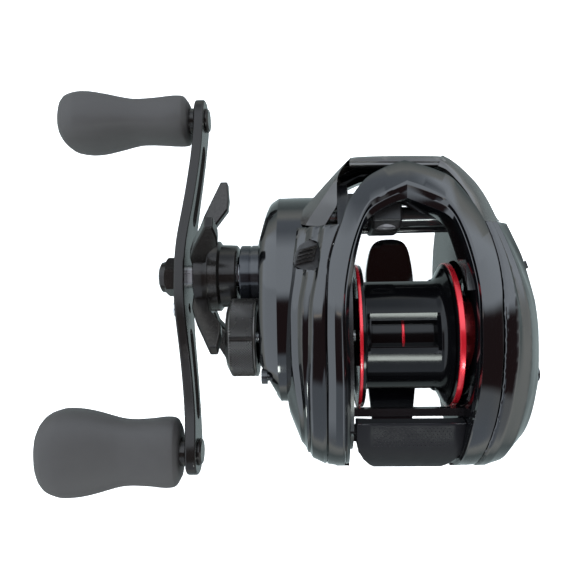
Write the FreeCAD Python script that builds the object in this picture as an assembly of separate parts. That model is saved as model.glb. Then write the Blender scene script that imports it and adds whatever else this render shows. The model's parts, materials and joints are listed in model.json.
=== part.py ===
import FreeCAD, Part
import os
import math

# Low-profile baitcasting reel, left-hand retrieve.
# Frame: +X to the palm side, handle on -X, +Y to the rod tip, +Z up.
# Origin: middle of the foot's flat underside, straight below the spool.
# Units are millimetres.

os.makedirs("parts", exist_ok=True)
V = FreeCAD.Vector

# ---------------------------------------------------------------- dimensions
SPOOL_Y, SPOOL_Z = 0.0, 22.0          # spool axis
FLANGE_R = 17.0                       # spool flange radius
ARBOR_R = 13.1                        # spool arbor radius
SPOOL_HALF = 11.0                     # half the width over the flanges
WINDOW_A = 9.4                        # first arbor window, degrees from straight up towards +Y
MODULE = 0.4                          # spur gear module
PRESSURE = math.radians(25.0)
MAIN_T, PINION_T = 74, 12             # drive gear and pinion teeth
IDLE_T, WORM_T = 48, 24               # level-wind drive gear and worm gear teeth
DRIVE_Y = 15.2
C_MAIN = MODULE * (MAIN_T + PINION_T) / 2.0
DRIVE_Z = SPOOL_Z - math.sqrt(C_MAIN ** 2 - DRIVE_Y ** 2)
WORM_Y = 28.6
C_WORM = MODULE * (IDLE_T + WORM_T) / 2.0
WORM_Z = DRIVE_Z + math.sqrt(C_WORM ** 2 - (WORM_Y - DRIVE_Y) ** 2)
PLATE_IN, PLATE_OUT = 12.3, 15.0      # frame side plates, |X|
COVER_IN = 15.1                       # inner edge of both side covers, |X|
WALL = 1.6                            # cover wall
HANDLE_R = 43.3                       # knob pivot radius
HANDLE_TILT = 10.0                    # handle's angle off level, rear knob up
KNOB_NEAR, KNOB_FAR = -53.2, -88.2
FOOT_W, FOOT_T = 12.6, 2.6
FOOT_REAR, FOOT_FRONT = -31.0, 25.0
RAIL_Y, RAIL_Z, RAIL_R = 25.7, 16.6, 0.75
TUBE_R = 2.5
GUIDE_X = -3.5                        # line guide's centre at rest
DIAL_P = V(26.6, 15.4, 20.0)          # brake dial's centre
DIAL_A = math.radians(17.0)           # its axis, turned from +X towards +Y


# ------------------------------------------------------------------- helpers
def cyl(x0, x1, r, y=0.0, z=0.0):
    return Part.makeCylinder(r, abs(x1 - x0), V(min(x0, x1), y, z), V(1, 0, 0))


def ring(x0, x1, ro, ri, y=0.0, z=0.0):
    return cyl(x0, x1, ro, y, z).cut(cyl(x0 - 1, x1 + 1, ri, y, z))


def box(x0, x1, y0, y1, z0, z1):
    return Part.makeBox(x1 - x0, y1 - y0, z1 - z0, V(x0, y0, z0))


def turn(pts, y, z):
    """Solid of revolution about the X line through (y, z); pts are (x, r)."""
    w = Part.makePolygon([V(px, y, z + pr) for px, pr in pts] + [V(pts[0][0], y, z + pts[0][1])])
    return Part.Face(w).revolve(V(0, y, z), V(1, 0, 0), 360)


def prism_z(pts, z0, z1, smooth=False):
    vs = [V(x, y, z0) for x, y in pts]
    if smooth:
        c = Part.BSplineCurve()
        c.interpolate(vs, True)
        w = Part.Wire([c.toShape()])
    else:
        w = Part.makePolygon(vs + [vs[0]])
    return Part.Face(w).extrude(V(0, 0, z1 - z0))


def prism_x(pts, x0, x1, smooth=False):
    vs = [V(x0, y, z) for y, z in pts]
    if smooth:
        c = Part.BSplineCurve()
        c.interpolate(vs, True)
        w = Part.Wire([c.toShape()])
    else:
        w = Part.makePolygon(vs + [vs[0]])
    return Part.Face(w).extrude(V(x1 - x0, 0, 0))


def fillet(shape, r, pick):
    es = [e for e in shape.Edges if pick(e)]
    if not es:
        return shape
    for rr in (r, r * 0.6, r * 0.3):
        try:
            s = shape.makeFillet(rr, es)
            if s.isValid() and s.Volume > 0.5 * shape.Volume:
                return s
        except Exception:
            pass
    return shape


def one(shape):
    sol = sorted(shape.Solids, key=lambda s: -s.Volume)
    return sol[0]


def export(name, *solids):
    out = []
    for s in solids:
        out += s.Solids
    shape = out[0] if len(out) == 1 else Part.makeCompound(out)
    shape.exportStep("parts/%s.step" % name)


def gear(x0, x1, teeth, y, z, bore, tooth_at, thin=0.05):
    """Involute spur gear about X with one tooth centred on the angle tooth_at."""
    rp = MODULE * teeth / 2.0
    rb = rp * math.cos(PRESSURE)
    ra = rp + MODULE
    rf = rp - 1.25 * MODULE
    inv = lambda a: math.tan(a) - a
    half = math.pi / (2 * teeth) - thin / (2 * rp)
    flank = []
    for i in range(5):
        r = max(rb, rf) + (ra - max(rb, rf)) * i / 4.0
        a = math.acos(min(1.0, rb / r))
        flank.append((r, half + inv(PRESSURE) - inv(a)))
    pts = []
    for k in range(teeth):
        c = tooth_at + 2 * math.pi * k / teeth
        prof = [(rf, -flank[0][1])] + [(r, -a) for r, a in flank]
        prof += [(r, a) for r, a in reversed(flank)] + [(rf, flank[0][1])]
        for r, a in prof:
            pts.append((y + r * math.cos(c + a), z + r * math.sin(c + a)))
    clean = [pts[0]]
    for p in pts[1:]:
        if math.hypot(p[0] - clean[-1][0], p[1] - clean[-1][1]) > 1e-4:
            clean.append(p)
    g = prism_x(clean, x0, x1)
    return g.cut(cyl(x0 - 1, x1 + 1, bore, y, z)) if bore else g


# ------------------------------------------------- outer form of the body
# Side profile of the body on its mid plane, (y, z).
REF = [(-31, 20), (-30.3, 27), (-26, 33.5), (-18, 38), (-8, 40.6), (2, 41), (12, 40.0), (22, 37.5),
       (31, 33.8), (38, 29.6), (42, 25.4), (43, 20.5), (41.2, 14.5), (37, 8.0), (31, 1.8), (23, -2.2),
       (13, -3.8), (3, -4.0), (-7, -3.1), (-16, -0.4), (-24, 5.4), (-29.2, 12.4)]
# x, front reach, rear reach, top, bottom
SECT = [(-27.6, 24.0, 13.0, 33.0, 3.0), (-26.8, 28.5, 17.6, 35.3, 0.5), (-25.0, 31.0, 22.8, 37.0, -1.0),
        (-22.0, 34.5, 27.5, 38.6, -3.6), (-18.0, 38.3, 29.8, 39.8, -4.0), (-14.0, 41.3, 30.0, 40.6, -4.0),
        (-10.5, 43.0, 30.0, 40.9, -4.0), (0.0, 43.0, 30.0, 41.0, -4.0), (10.5, 42.6, 30.0, 40.9, -4.0),
        (14.0, 39.8, 30.0, 40.6, -4.0), (18.0, 36.2, 30.0, 39.8, -4.0), (22.0, 31.2, 28.2, 38.2, -2.4),
        (26.0, 24.5, 24.2, 35.0, -1.0), (29.0, 16.5, 19.5, 30.4, 1.5), (31.0, 9.5, 14.5, 25.6, 4.5),
        (32.0, 4.0, 9.8, 22.6, 9.0)]


def section(s, off=0.0, x=None):
    x0, yf, yr, zt, zb = s
    pts = []
    for y, z in REF:
        yy = y * (yf - off) / 43.0 if y > 0 else y * (yr - off) / 31.0
        zz = 20 + (z - 20) * (zt - off - 20) / 21.0 if z > 20 else 20 - (20 - z) * (20 - zb - off) / 24.0
        pts.append(V(x0 if x is None else x, yy, zz))
    c = Part.BSplineCurve()
    c.interpolate(pts, True)
    return Part.Wire([c.toShape()])


def at(x):
    for a, b in zip(SECT, SECT[1:]):
        if a[0] <= x <= b[0]:
            t = (x - a[0]) / (b[0] - a[0])
            return tuple(p + (q - p) * t for p, q in zip(a, b))


def body(off=0.0, x0=None, x1=None):
    ss = [s for s in SECT if (x0 is None or s[0] > x0 + 0.3) and (x1 is None or s[0] < x1 - 0.3)]
    if x0 is not None:
        ss = [at(x0)] + ss
    if x1 is not None:
        ss = ss + [at(x1)]
    return Part.makeLoft([section(s, off) for s in ss], True, False)


OUTER = body()
INNER = body(WALL, -26.2, 30.6)
SKIN = OUTER.cut(INNER)

# Plan of the horseshoe top cover: outer and inner edges, (x, y)
ARCH_OUT = [(-18.0, -40), (-18.0, -20), (-18.1, 0), (-17.8, 10), (-16.6, 18.5), (-14.6, 26.0), (-11.6, 32.2),
            (-7.0, 37.0), (0.0, 39.0), (7.0, 37.4), (11.6, 33.4), (14.6, 27.6), (16.8, 20.0), (18.0, 11.0),
            (18.2, 0), (18.0, -20), (18.0, -40)]
ARCH_IN = [(-13.2, -41), (-13.2, -20), (-13.2, 0), (-13.0, 8), (-12.2, 16), (-10.6, 22.5), (-7.4, 27.4),
           (0.0, 30.6), (7.4, 27.6), (10.6, 22.9), (12.2, 16), (13.0, 8), (13.2, 0), (13.2, -20), (13.2, -41)]


def plan(pts, z0, z1):
    c = Part.BSplineCurve()
    c.interpolate([V(x, y, z0) for x, y in pts])
    e = c.toShape()
    a, b = V(pts[0][0], pts[0][1], z0), V(pts[-1][0], pts[-1][1], z0)
    return Part.Face(Part.Wire([e, Part.makeLine(b, a)])).extrude(V(0, 0, z1 - z0))


ARCH_Z = 24.5
arch_o = plan(ARCH_OUT, ARCH_Z, 50)
arch_i = plan(ARCH_IN, ARCH_Z - 1, 51)

# ------------------------------------------------------------------ top cover
thick = OUTER.cut(body(3.2, -26.2, 30.6))
top_cover = thick.common(arch_o).cut(arch_i)
# notch for the thumb bar's travel at the rear
top_cover = top_cover.cut(box(-13.4, 13.4, -45, -17.0, 10, 50))
top_cover = one(top_cover)
export("top_cover", top_cover)

# ------------------------------------------------------- gearbox bulge
BULGE = [(34.4, 13), (33.4, 20.5), (29.3, 27), (22, 31.8), (12, 34.4), (0, 34.6), (-9, 32.2), (-14, 27.2),
         (-15.3, 21), (-13.6, 13.5), (-8, 6.5), (0, 0.6), (8, -2.6), (16, -3.6), (25, -2), (31.2, 4.4)]


def bulge(xs):
    ws = []
    for x, k in xs:
        c = Part.BSplineCurve()
        c.interpolate([V(x, 9.2 + (y - 9.2) * (1 - k / 24.5), 15.5 + (z - 15.5) * (1 - k / 19.0)) for y, z in BULGE], True)
        ws.append(Part.Wire([c.toShape()]))
    return Part.makeLoft(ws, True, False)


b_out = bulge([(-17.2, 0.0), (-28.0, 0.1), (-31.0, 0.5), (-32.6, 1.6), (-33.3, 3.4)])
b_in = bulge([(-16.6, 1.5), (-28.0, 1.5), (-30.8, 1.8), (-31.9, 3.2)])
# --------------------------------------------------------------- front hood
arch_gap = plan([(x * 1.015, y + 0.35) for x, y in ARCH_OUT], -20, 60)
hood_plan = prism_z([(-26, 26.2), (-17.6, 25.2), (-15.5, 27), (-11.9, 35.0), (-8.0, 39.6), (8.0, 39.6), (12.6, 35.6),
                     (15.2, 30.0), (17.6, 25.6), (26, 25.6), (26, 50), (-26, 50)], 13.0, 50)
hood = OUTER.cut(body(2.0, -26.2, 30.6)).common(hood_plan).cut(arch_gap)
# see-through gaps between the hood and the top cover
hood = hood.cut(prism_z([(-17.4, 30.0), (-12.4, 39.4), (-9.8, 39.4), (-13.4, 29.0)], 5, 50))
# window for the line over the nose bar
hood = hood.cut(box(-9.6, 9.6, 20, 60, 19.6, 60)).cut(b_out)
hood = one(hood)
export("front_hood", hood)

# ------------------------------------------------------- gear-side cover
side = box(-40, -COVER_IN, -60, 60, -60, 60)
cover_l = OUTER.common(side).fuse(b_out)
cover_l = cover_l.cut(INNER.common(box(-26.2, -COVER_IN + 1, -60, 60, -60, 60))).cut(b_in)
cover_l = cover_l.cut(plan([(x * 1.004, y + 0.08) for x, y in ARCH_OUT], ARCH_Z - 0.1, 60))
cover_l = cover_l.cut(prism_z([(-27.5, 25.9), (-17.4, 24.9), (-14.0, 24.9), (-14.0, 60), (-27.5, 60)], 12.9, 60)
                      .cut(box(-40, -26.3, -60, 60, -60, 60)).cut(b_out))
cover_l = cover_l.cut(cyl(-24.2, -18.2, 15.55, DRIVE_Y, DRIVE_Z))
cap_boss = ring(-38.2, -31.0, 6.0, 3.4, SPOOL_Y, SPOOL_Z)
pin_seat = ring(-32.6, -29.0, 5.6, 4.2, SPOOL_Y, SPOOL_Z)
hs_seat = ring(-32.6, -28.2, 8.8, 7.7, DRIVE_Y, DRIVE_Z)
cover_l = cover_l.cut(cyl(-60, -30.0, 7.7, DRIVE_Y, DRIVE_Z))
cover_l = cover_l.fuse([pin_seat, hs_seat]).cut(cyl(-60, -31.3, 5.0, SPOOL_Y, SPOOL_Z)).fuse(cap_boss)
cover_l = cover_l.cut(cyl(-34.0, -28.0, 4.2, SPOOL_Y, SPOOL_Z))
# recess for the latch
LATCH = (-24.0, -19.2, 16.6, 24.4)
cover_l = cover_l.cut(box(LATCH[0] - 0.4, LATCH[1] + 0.4, LATCH[2] - 0.3, LATCH[3] + 0.3, 30, 50))
tray = box(LATCH[0] - 1.2, LATCH[1] + 1.0, LATCH[2] - 1.2, LATCH[3] + 0.4, 29.6, 30.5).common(OUTER)
wallt = OUTER.common(box(LATCH[0] - 1.2, LATCH[1] + 1.0, LATCH[2] - 1.2, LATCH[3] + 0.4, 29.6, 50)).cut(
    box(LATCH[0] - 0.4, LATCH[1] + 0.4, LATCH[2] - 0.3, LATCH[3] + 0.3, 30.5, 60))
wallt = wallt.cut(plan([(x * 1.004, y + 0.08) for x, y in ARCH_OUT], ARCH_Z - 0.1, 60))
cover_l = cover_l.fuse(wallt)
cover_l = one(cover_l)

# ------------------------------------------------------- palm-side cover
side_r = box(COVER_IN, 40, -60, 60, -60, 60)
cover_r = SKIN.common(side_r)
cover_r = cover_r.cut(plan([(x * 1.004, y + 0.08) for x, y in ARCH_OUT], ARCH_Z - 0.1, 60))
cover_r = cover_r.cut(prism_z([(14, 25.3), (26.5, 25.3), (26.5, 60), (14, 60)], 12.9, 60))
dax = V(math.cos(DIAL_A), math.sin(DIAL_A), 0)
pocket = Part.makeCylinder(7.9, 12, DIAL_P - dax * 3.0, dax)
floor_ = Part.makeCylinder(9.2, 4.6, DIAL_P - dax * 4.2, dax).common(OUTER)
cover_r = cover_r.fuse(floor_).cut(pocket).cut(Part.makeCylinder(1.62, 30, DIAL_P - dax * 12, dax))
cover_r = one(cover_r)

# cover screws: three on each side, heads in counterbores
SCREWS_L = [(-5.5, 12.0), (27.0, 9.0), (-8.5, 30.4)]
SCREWS_R = [(-9.0, 14.0, 31.0, 0.6), (-9.0, 26.0, 29.3, 0.9)]
heads = []
for y, z in SCREWS_L:
    cover_l = cover_l.cut(cyl(-40, -31.7, 1.7, y, z)).fuse(ring(-32.0, -28.4, 2.4, 1.0, y, z)).cut(cyl(-40, -31.4, 1.7, y, z)).cut(cyl(-40, -20, 1.0, y, z))
    h = cyl(-32.7, -31.4, 1.7, y, z).fuse(cyl(-31.4, -27.6, 1.0, y, z))
    h = h.cut(box(-34, -32.1, y - 1.3, y + 1.3, z - 0.2, z + 0.2)).cut(box(-34, -32.1, y - 0.2, y + 0.2, z - 1.3, z + 1.3))
    heads.append(h)
for y, z, x, t in SCREWS_R:
    cover_r = cover_r.cut(cyl(x, 40, 1.7, y, z)).cut(cyl(20, 40, 1.0, y, z))
    h = cyl(x, x + t, 1.7, y, z).fuse(cyl(26.5, x, 1.0, y, z))
    h = h.cut(box(x + t - 0.4, 33, y - 1.3, y + 1.3, z - 0.2, z + 0.2)).cut(box(x + t - 0.4, 33, y - 0.2, y + 0.2, z - 1.3, z + 1.3))
    heads.append(h)
export("cover_screws", *heads)
export("gear_side_cover", one(cover_l))
export("palm_side_cover", one(cover_r))

# ---------------------------------------------------------------- main frame
PLATE_OFF = 3.5


def plate(x0, x1):
    s0 = at(14.0)
    pts = []
    for y, z in REF:
        yy = y * (s0[1] - PLATE_OFF) / 43.0 if y > 0 else y * (s0[2] - PLATE_OFF) / 31.0
        zz = 20 + (z - 20) * (s0[3] - PLATE_OFF - 20) / 21.0 if z > 20 else 20 - (20 - z) * (20 - s0[4] - 1.9) / 24.0
        pts.append((yy, zz))
    return prism_x(pts, x0, x1, smooth=True)


frame = plate(-PLATE_OUT, -PLATE_IN)
right = plate(PLATE_IN, PLATE_OUT).cut(cyl(PLATE_IN - 1, PLATE_OUT + 1, 17.5, SPOOL_Y, SPOOL_Z))
bars = [box(-12.5, 12.5, -17.5, -15.8, 29.2, 31.6),          # rear bar in front of the thumb bar
        box(-12.5, 12.5, -26.0, -23.6, 9.5, 18.0),            # rear wall
        box(-12.5, 12.5, -9.0, 9.0, FOOT_T, 4.3),             # plate over the foot
        box(-12.5, 12.5, 32.4, 35.4, 12.6, 15.6)]             # nose bar
for b in bars:
    frame = frame.fuse(b)
frame = frame.fuse(right)
# windows, bores and slots in the side plates
frame = frame.cut(cyl(-16, -12, 4.2, SPOOL_Y, SPOOL_Z))
frame = frame.cut(cyl(-16, -12, 4.5, DRIVE_Y, DRIVE_Z))
frame = frame.cut(cyl(-16, -12, 2.9, WORM_Y, WORM_Z)).cut(cyl(12, 16, 2.9, WORM_Y, WORM_Z))
frame = frame.cut(cyl(-16, 16, RAIL_R, RAIL_Y, RAIL_Z))
frame = frame.cut(box(-16, -12, -21.9, -18.2, 22.2, 32.2))
for sx, sy in ((3.6, 5.6), (-3.6, 5.6), (3.6, -5.6), (-3.6, -5.6)):
    frame = frame.cut(Part.makeCylinder(1.1, 10, V(sx, sy, 0)))
frame = one(frame)
export("main_frame", frame)

# ---------------------------------------------------------------------- foot
w = FOOT_W / 2.0
foot_pts = [(-w, 14), (-w, 3), (-w, -14), (-w + 0.9, -24), (-w + 2.4, -29.6), (0, FOOT_REAR), (w - 2.4, -29.6),
            (w - 0.9, -24), (w, -14), (w, 3), (w, 14), (w - 0.7, 20), (w - 2.4, 24), (0, FOOT_FRONT),
            (-w + 2.4, 24), (-w + 0.7, 20)]
foot = prism_z(foot_pts, 0, FOOT_T, smooth=True)
taper = Part.Face(Part.makePolygon([V(-20, -40, 1.1), V(-20, -31, 1.1), V(-20, -12, FOOT_T), V(-20, 12, FOOT_T),
                                    V(-20, 25, 1.2), V(-20, 40, 1.2), V(-20, 40, 9), V(-20, -40, 9),
                                    V(-20, -40, 1.1)])).extrude(V(40, 0, 0))
foot = foot.cut(taper)
for sx, sy in ((3.6, 5.6), (-3.6, 5.6), (3.6, -5.6), (-3.6, -5.6)):
    foot = foot.cut(Part.makeCylinder(1.1, 10, V(sx, sy, -1)))
    foot = foot.cut(Part.makeCone(1.9, 1.1, 0.8, V(sx, sy, 0)))
foot = fillet(foot, 0.5, lambda e: e.BoundBox.ZMin > 1.0 and e.Length > 8 and not (abs(e.BoundBox.YMin) < 12.5 and abs(e.BoundBox.YMax) < 12.5 and e.BoundBox.XLength > 11))
export("reel_foot", one(foot))
riv = []
for sx, sy in ((3.6, 5.6), (-3.6, 5.6), (3.6, -5.6), (-3.6, -5.6)):
    r = Part.makeCylinder(1.1, 3.9, V(sx, sy, 0.4)).fuse(Part.makeCone(1.66, 1.1, 0.56, V(sx, sy, 0.24)))
    riv.append(r)
export("foot_rivets", *riv)

# -------------------------------------------------------------- drive train
D = (DRIVE_Y, DRIVE_Z)
S = (SPOOL_Y, SPOOL_Z)
W = (WORM_Y, WORM_Z)
a_ds = math.atan2(SPOOL_Z - DRIVE_Z, SPOOL_Y - DRIVE_Y)
a_dw = math.atan2(WORM_Z - DRIVE_Z, WORM_Y - DRIVE_Y)
main = gear(-21.8, -18.6, MAIN_T, D[0], D[1], 0, a_ds)
main = main.cut(cyl(-22.5, -19.8, 11.9, *D)).cut(cyl(-30, -10, 3.0, *D))
for k in range(6):
    a = k * math.pi / 3
    main = main.cut(cyl(-30, -10, 1.7, D[0] + 7.6 * math.cos(a), D[1] + 7.6 * math.sin(a)))
export("main_gear", one(main))
shaft = cyl(-57.4, -12.6, 3.0, *D)
shaft = shaft.cut(cyl(-17.0, -10, 3.5, *D)).fuse(cyl(-17.0, -12.6, 2.5, *D)).fuse(cyl(-16.9, -16.45, 5.0, *D))
flats = box(-60, -39.0, D[0] - 5, D[0] + 5, D[1] + 2.5, D[1] + 5).fuse(box(-60, -39.0, D[0] - 5, D[0] + 5, D[1] - 5, D[1] - 2.5))
shaft = shaft.cut(flats)
shaft = shaft.cut(ring(-57.0, -55.6, 4.0, 2.75, *D).common(box(-70, 0, -99, 99, -99, 99)))
export("drive_shaft", one(shaft))
idle = gear(-18.5, -17.0, IDLE_T, D[0], D[1], 3.0, a_dw)
for k in range(5):
    a = k * 2 * math.pi / 5 + 0.3
    idle = idle.cut(cyl(-30, -10, 1.4, D[0] + 6.2 * math.cos(a), D[1] + 6.2 * math.sin(a)))
export("levelwind_drive_gear", one(idle))
wash = [ring(-20.7, -19.8, 11.5, 3.05, *D), ring(-22.5, -21.6, 11.5, 3.05, *D)]
export("drag_washers", *wash)
ears = ring(-21.6, -20.7, 11.2, 3.05, *D)
plate = ring(-23.6, -22.5, 10.8, 3.05, *D)
export("drag_metal_washers", ears, plate)
bel = [turn([(-24.2, 3.1), (-23.6, 3.1), (-23.9, 5.2), (-24.5, 5.2)], *D),
       turn([(-24.8, 3.1), (-24.2, 3.1), (-24.5, 5.2), (-25.1, 5.2)], *D)]
export("drag_spring_washers", *[one(b) for b in bel])
export("clutch_sleeve", ring(-39.2, -25.2, 4.57, 3.02, *D))
rollers = ring(-38.8, -28.2, 7.7, 4.65, *D)
rollers = rollers.cut(ring(-36.4, -35.9, 9, 7.35, *D)).cut(ring(-38.9, -38.0, 6.7, 5.6, *D))
rollers = fillet(rollers, 0.4, lambda e: abs(e.BoundBox.XMin + 38.8) < 0.01 and e.BoundBox.XLength < 0.01 and e.BoundBox.YLength > 15)
export("one_way_clutch", one(rollers))
export("drive_shaft_bearing", ring(-15.0, -12.7, 4.5, 2.53, *D).cut(ring(-15.1, -14.8, 3.9, 3.1, *D)))

# pinion: teeth, yoke groove, journals, cross slot for the spool's pin
gap_at = a_ds + math.pi
pin = gear(-23.4, -16.2, PINION_T, S[0], S[1], 0, gap_at + math.pi / PINION_T)
pin = pin.fuse(cyl(-24.2, -23.4, 2.8, *S)).fuse(cyl(-25.9, -24.2, 2.0, *S)).fuse(cyl(-27.2, -25.9, 2.8, *S))
pin = pin.fuse(cyl(-31.0, -27.2, 2.0, *S)).fuse(cyl(-16.2, -12.0, 2.0, *S))
pin = pin.cut(cyl(-40, 0, 1.33, *S)).cut(box(-13.0, -11, -0.55, 0.55, SPOOL_Z - 3, SPOOL_Z + 3))
export("pinion_gear", one(pin))
b1 = ring(-15.0, -12.8, 4.2, 2.04, *S).cut(ring(-15.1, -14.85, 3.6, 2.6, *S)).cut(ring(-12.95, -12.7, 3.6, 2.6, *S))
b2 = ring(-31.4, -29.5, 4.2, 2.04, *S).cut(ring(-29.65, -29.4, 3.6, 2.6, *S))
export("pinion_bearings", b1, b2)

# clutch: yoke on two posts, cam round the spool axis
ux, uz = DRIVE_Y / C_MAIN, (DRIVE_Z - SPOOL_Z) / C_MAIN
P1 = (-uz * 8.0, SPOOL_Z + ux * 8.0)
P2 = (uz * 8.0, SPOOL_Z - ux * 8.0)
posts = [cyl(-28.6, -15.0, 0.8, *P1).fuse(cyl(-15.6, -15.0, 1.5, *P1)), cyl(-28.6, -15.0, 0.8, *P2).fuse(cyl(-15.6, -15.0, 1.5, *P2))]
export("yoke_posts", *posts)
ang = math.degrees(math.atan2(ux, -uz))
yoke = box(-25.7, -24.5, -10.0, 10.0, -1.9, 1.9).fuse(cyl(-25.7, -24.5, 1.9, 10.0 - 2, 0)).fuse(cyl(-25.7, -24.5, 1.9, -8, 0))
yoke = yoke.common(cyl(-30, -20, 9.9, 0, 0)).fuse(cyl(-25.7, -24.5, 4.2, 0, 0))
yoke = yoke.cut(cyl(-30, -20, 2.08, 0, 0))
yoke.rotate(V(0, 0, 0), V(1, 0, 0), ang)
yoke.translate(V(0, SPOOL_Y, SPOOL_Z))
yoke = yoke.cut(cyl(-30, -20, 0.87, *P1)).cut(cyl(-30, -20, 0.87, *P2))
open_side = box(-30, -20, 0, 20, -2.08, 2.08)
open_side.rotate(V(0, 0, 0), V(1, 0, 0), math.degrees(math.atan2(-uz, -ux)))
open_side.translate(V(0, SPOOL_Y, SPOOL_Z))
yoke = yoke.cut(open_side)
export("clutch_yoke", one(yoke))
cam = ring(-16.05, -15.2, 6.4, 4.5, *S)
armc = prism_x([(-5.0, 22.2), (-5.6, 25.2), (-18.6, 27.6), (-21.6, 28.0), (-21.6, 26.6), (-18.4, 25.4)], -16.05, -15.2)
cam = cam.fuse(armc).fuse(box(-16.9, -16.0, 4.6, 6.2, 24.5, 26.0).common(ring(-17, -16, 8, 4.5, *S)))
cam = cam.cut(cyl(-30, 0, 4.5, *S))
export("clutch_cam", one(cam))

# ------------------------------------------------------------------ thumb bar
tb = [(-17.9, 32.6), (-18.7, 35.1), (-23.7, 33.5), (-27.4, 30.4), (-29.9, 26.8), (-30.1, 24.6), (-28.8, 24.4),
      (-26.4, 27.0), (-22.4, 29.4), (-19.8, 31.6), (-18.0, 31.6)]
thumb = prism_x(tb, -11.8, 11.8)
cutp = prism_z([(-11.9, -17), (-11.9, -25.6), (-10.4, -28.4), (-7.4, -31.4), (7.4, -31.4), (10.4, -28.4), (11.9, -25.6),
                (11.9, -17)], 10, 50)
thumb = thumb.common(cutp)
thumb = thumb.fuse(box(-16.4, -11.4, -21.5, -19.1, 29.9, 31.7))
thumb = fillet(thumb, 0.6, lambda e: e.BoundBox.XLength > 14 and e.BoundBox.ZMin > 26)
export("thumb_bar", one(thumb))

# ---------------------------------------------------------------------- spool
h = SPOOL_HALF
prof = [(-h, 1.25), (-h, 3.2), (-10.0, 4.4), (-9.6, 12.4), (-h, 14.2), (-h, 16.1), (-9.4, 16.1), (-8.9, 15.2),
        (-8.3, ARBOR_R + 0.5), (-7.2, ARBOR_R), (7.0, ARBOR_R), (8.1, ARBOR_R + 0.6), (8.9, 15.2), (9.4, 16.1), (h, 16.1),
        (h, 14.2), (9.6, 12.3), (8.0, 11.9), (-7.6, 11.9), (-8.4, 11.0), (-8.4, 5.2), (-6.0, 3.2), (8.6, 2.8), (8.6, 1.25)]
spool = turn(prof, *S)
spool = spool.fuse(ring(-8.6, 7.8, 9.0, 8.2, *S))
for k in range(4):
    for w2, d, xa, xb in ((4.6, 12.1, -8.9, 6.9), (2.8, 10.2, -8.0, 6.2)):
        pocket_s = box(xa, xb, -w2, w2, d, 15.0)
        pocket_s.rotate(V(0, 0, 0), V(1, 0, 0), -WINDOW_A - 90 * k)
        pocket_s.translate(V(0, *S))
        spool = spool.cut(pocket_s)
export("spool", one(spool))
rims = []
for s in (-1, 1):
    rims.append(turn([(s * 11.0, 16.1), (s * 11.0, 16.85), (s * 10.85, 17.0), (s * 9.7, 17.0), (s * 9.4, 16.7), (s * 9.4, 16.1)], *S))
export("spool_rim_rings", *rims)
sh = cyl(-38.0, 21.4, 1.25, *S)
sh = sh.cut(cyl(-13.05, -11.6, 3, *S)).fuse(cyl(-13.05, -11.6, 1.25, *S))
dpin = Part.makeCylinder(0.45, 3.8, V(-12.46, SPOOL_Y, SPOOL_Z - 1.9), V(0, 0, 1))
export("spool_shaft", one(sh.cut(dpin)))
export("spool_drive_pin", dpin)
rotor = ring(11.0, 14.2, 8.6, 7.6, *S).fuse(ring(11.0, 11.8, 8.6, 1.25, *S).cut(cyl(0, 20, 1.25, *S)))
export("brake_rotor", one(rotor))

# --------------------------------------- palm-side bearing hub and brake
hub = ring(21.4, 22.5, 13.7, 1.6, *S).fuse(ring(18.0, 22.0, 5.4, 4.0, *S)).cut(cyl(21.2, 23.0, 1.6, *S))
for k in range(3):
    a = k * 2 * math.pi / 3 + 0.5
    hub = hub.cut(cyl(20, 24, 2.3, S[0] + 9.6 * math.cos(a), S[1] + 9.6 * math.sin(a)))
hub = hub.fuse(ring(15.3, 22.5, 13.7, 13.3, *S)).fuse(ring(22.4, 28.4, 4.4, 2.4, *S))
export("brake_housing", one(hub))
sb = [ring(18.4, 21.0, 4.0, 1.29, *S).cut(ring(18.3, 18.6, 3.2, 2.0, *S)), ring(-37.4, -35.0, 3.4, 1.29, *S)]
export("spool_bearings", *sb)
car = ring(14.6, 17.0, 13.0, 9.2, *S).cut(ring(14.4, 16.2, 12.3, 10.1, *S))
export("magnet_carrier", one(car))
mags = []
for k in range(8):
    a = k * math.pi / 4
    mags.append(cyl(14.7, 16.2, 1.0, S[0] + 11.2 * math.cos(a), S[1] + 11.2 * math.sin(a)))
export("brake_magnets", *mags)
# dial: scalloped disc on a stem
dial = Part.makeCylinder(7.4, 3.6, DIAL_P - dax * 2.4, dax)
dial = fillet(dial, 0.6, lambda e: (e.BoundBox.Center - (DIAL_P + dax * 1.2)).Length < 0.5)
up = V(0, 0, 1)
sd = up.cross(dax)
for k in range(18):
    a = k * 2 * math.pi / 18
    c = DIAL_P + (up * math.cos(a) + sd * math.sin(a)) * 7.9 - dax * 4
    dial = dial.cut(Part.makeCylinder(0.75, 8, c, dax))
dial = dial.fuse(Part.makeCylinder(1.55, 1.6, DIAL_P - dax * 3.4, dax))
grip = box(0, 1.4, -0.9, 0.9, -5.2, 5.2)
grip.rotate(V(0, 0, 0), V(0, 0, 1), math.degrees(DIAL_A))
grip.translate(DIAL_P + dax * 1.0)
dial = dial.fuse(grip)
export("brake_dial", one(dial))

# ------------------------------------------------------- cast control cap
cap = turn([(-41.2, 0.0), (-41.2, 7.6), (-40.2, 9.4), (-34.3, 9.4), (-34.1, 9.1), (-34.1, 6.4), (-39.3, 6.4), (-39.3, 0.0)], *S)
n = 60
for k in range(n):
    a = 2 * math.pi * k / n
    g = box(-39.8, -34.6, -0.14, 0.14, 9.15, 10)
    g.rotate(V(0, 0, 0), V(1, 0, 0), math.degrees(a))
    g.translate(V(0, SPOOL_Y, SPOOL_Z))
    cap = cap.cut(g)
export("cast_control_cap", one(cap))
export("spool_tension_shim", cyl(-39.2, -38.3, 3.2, *S))

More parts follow.
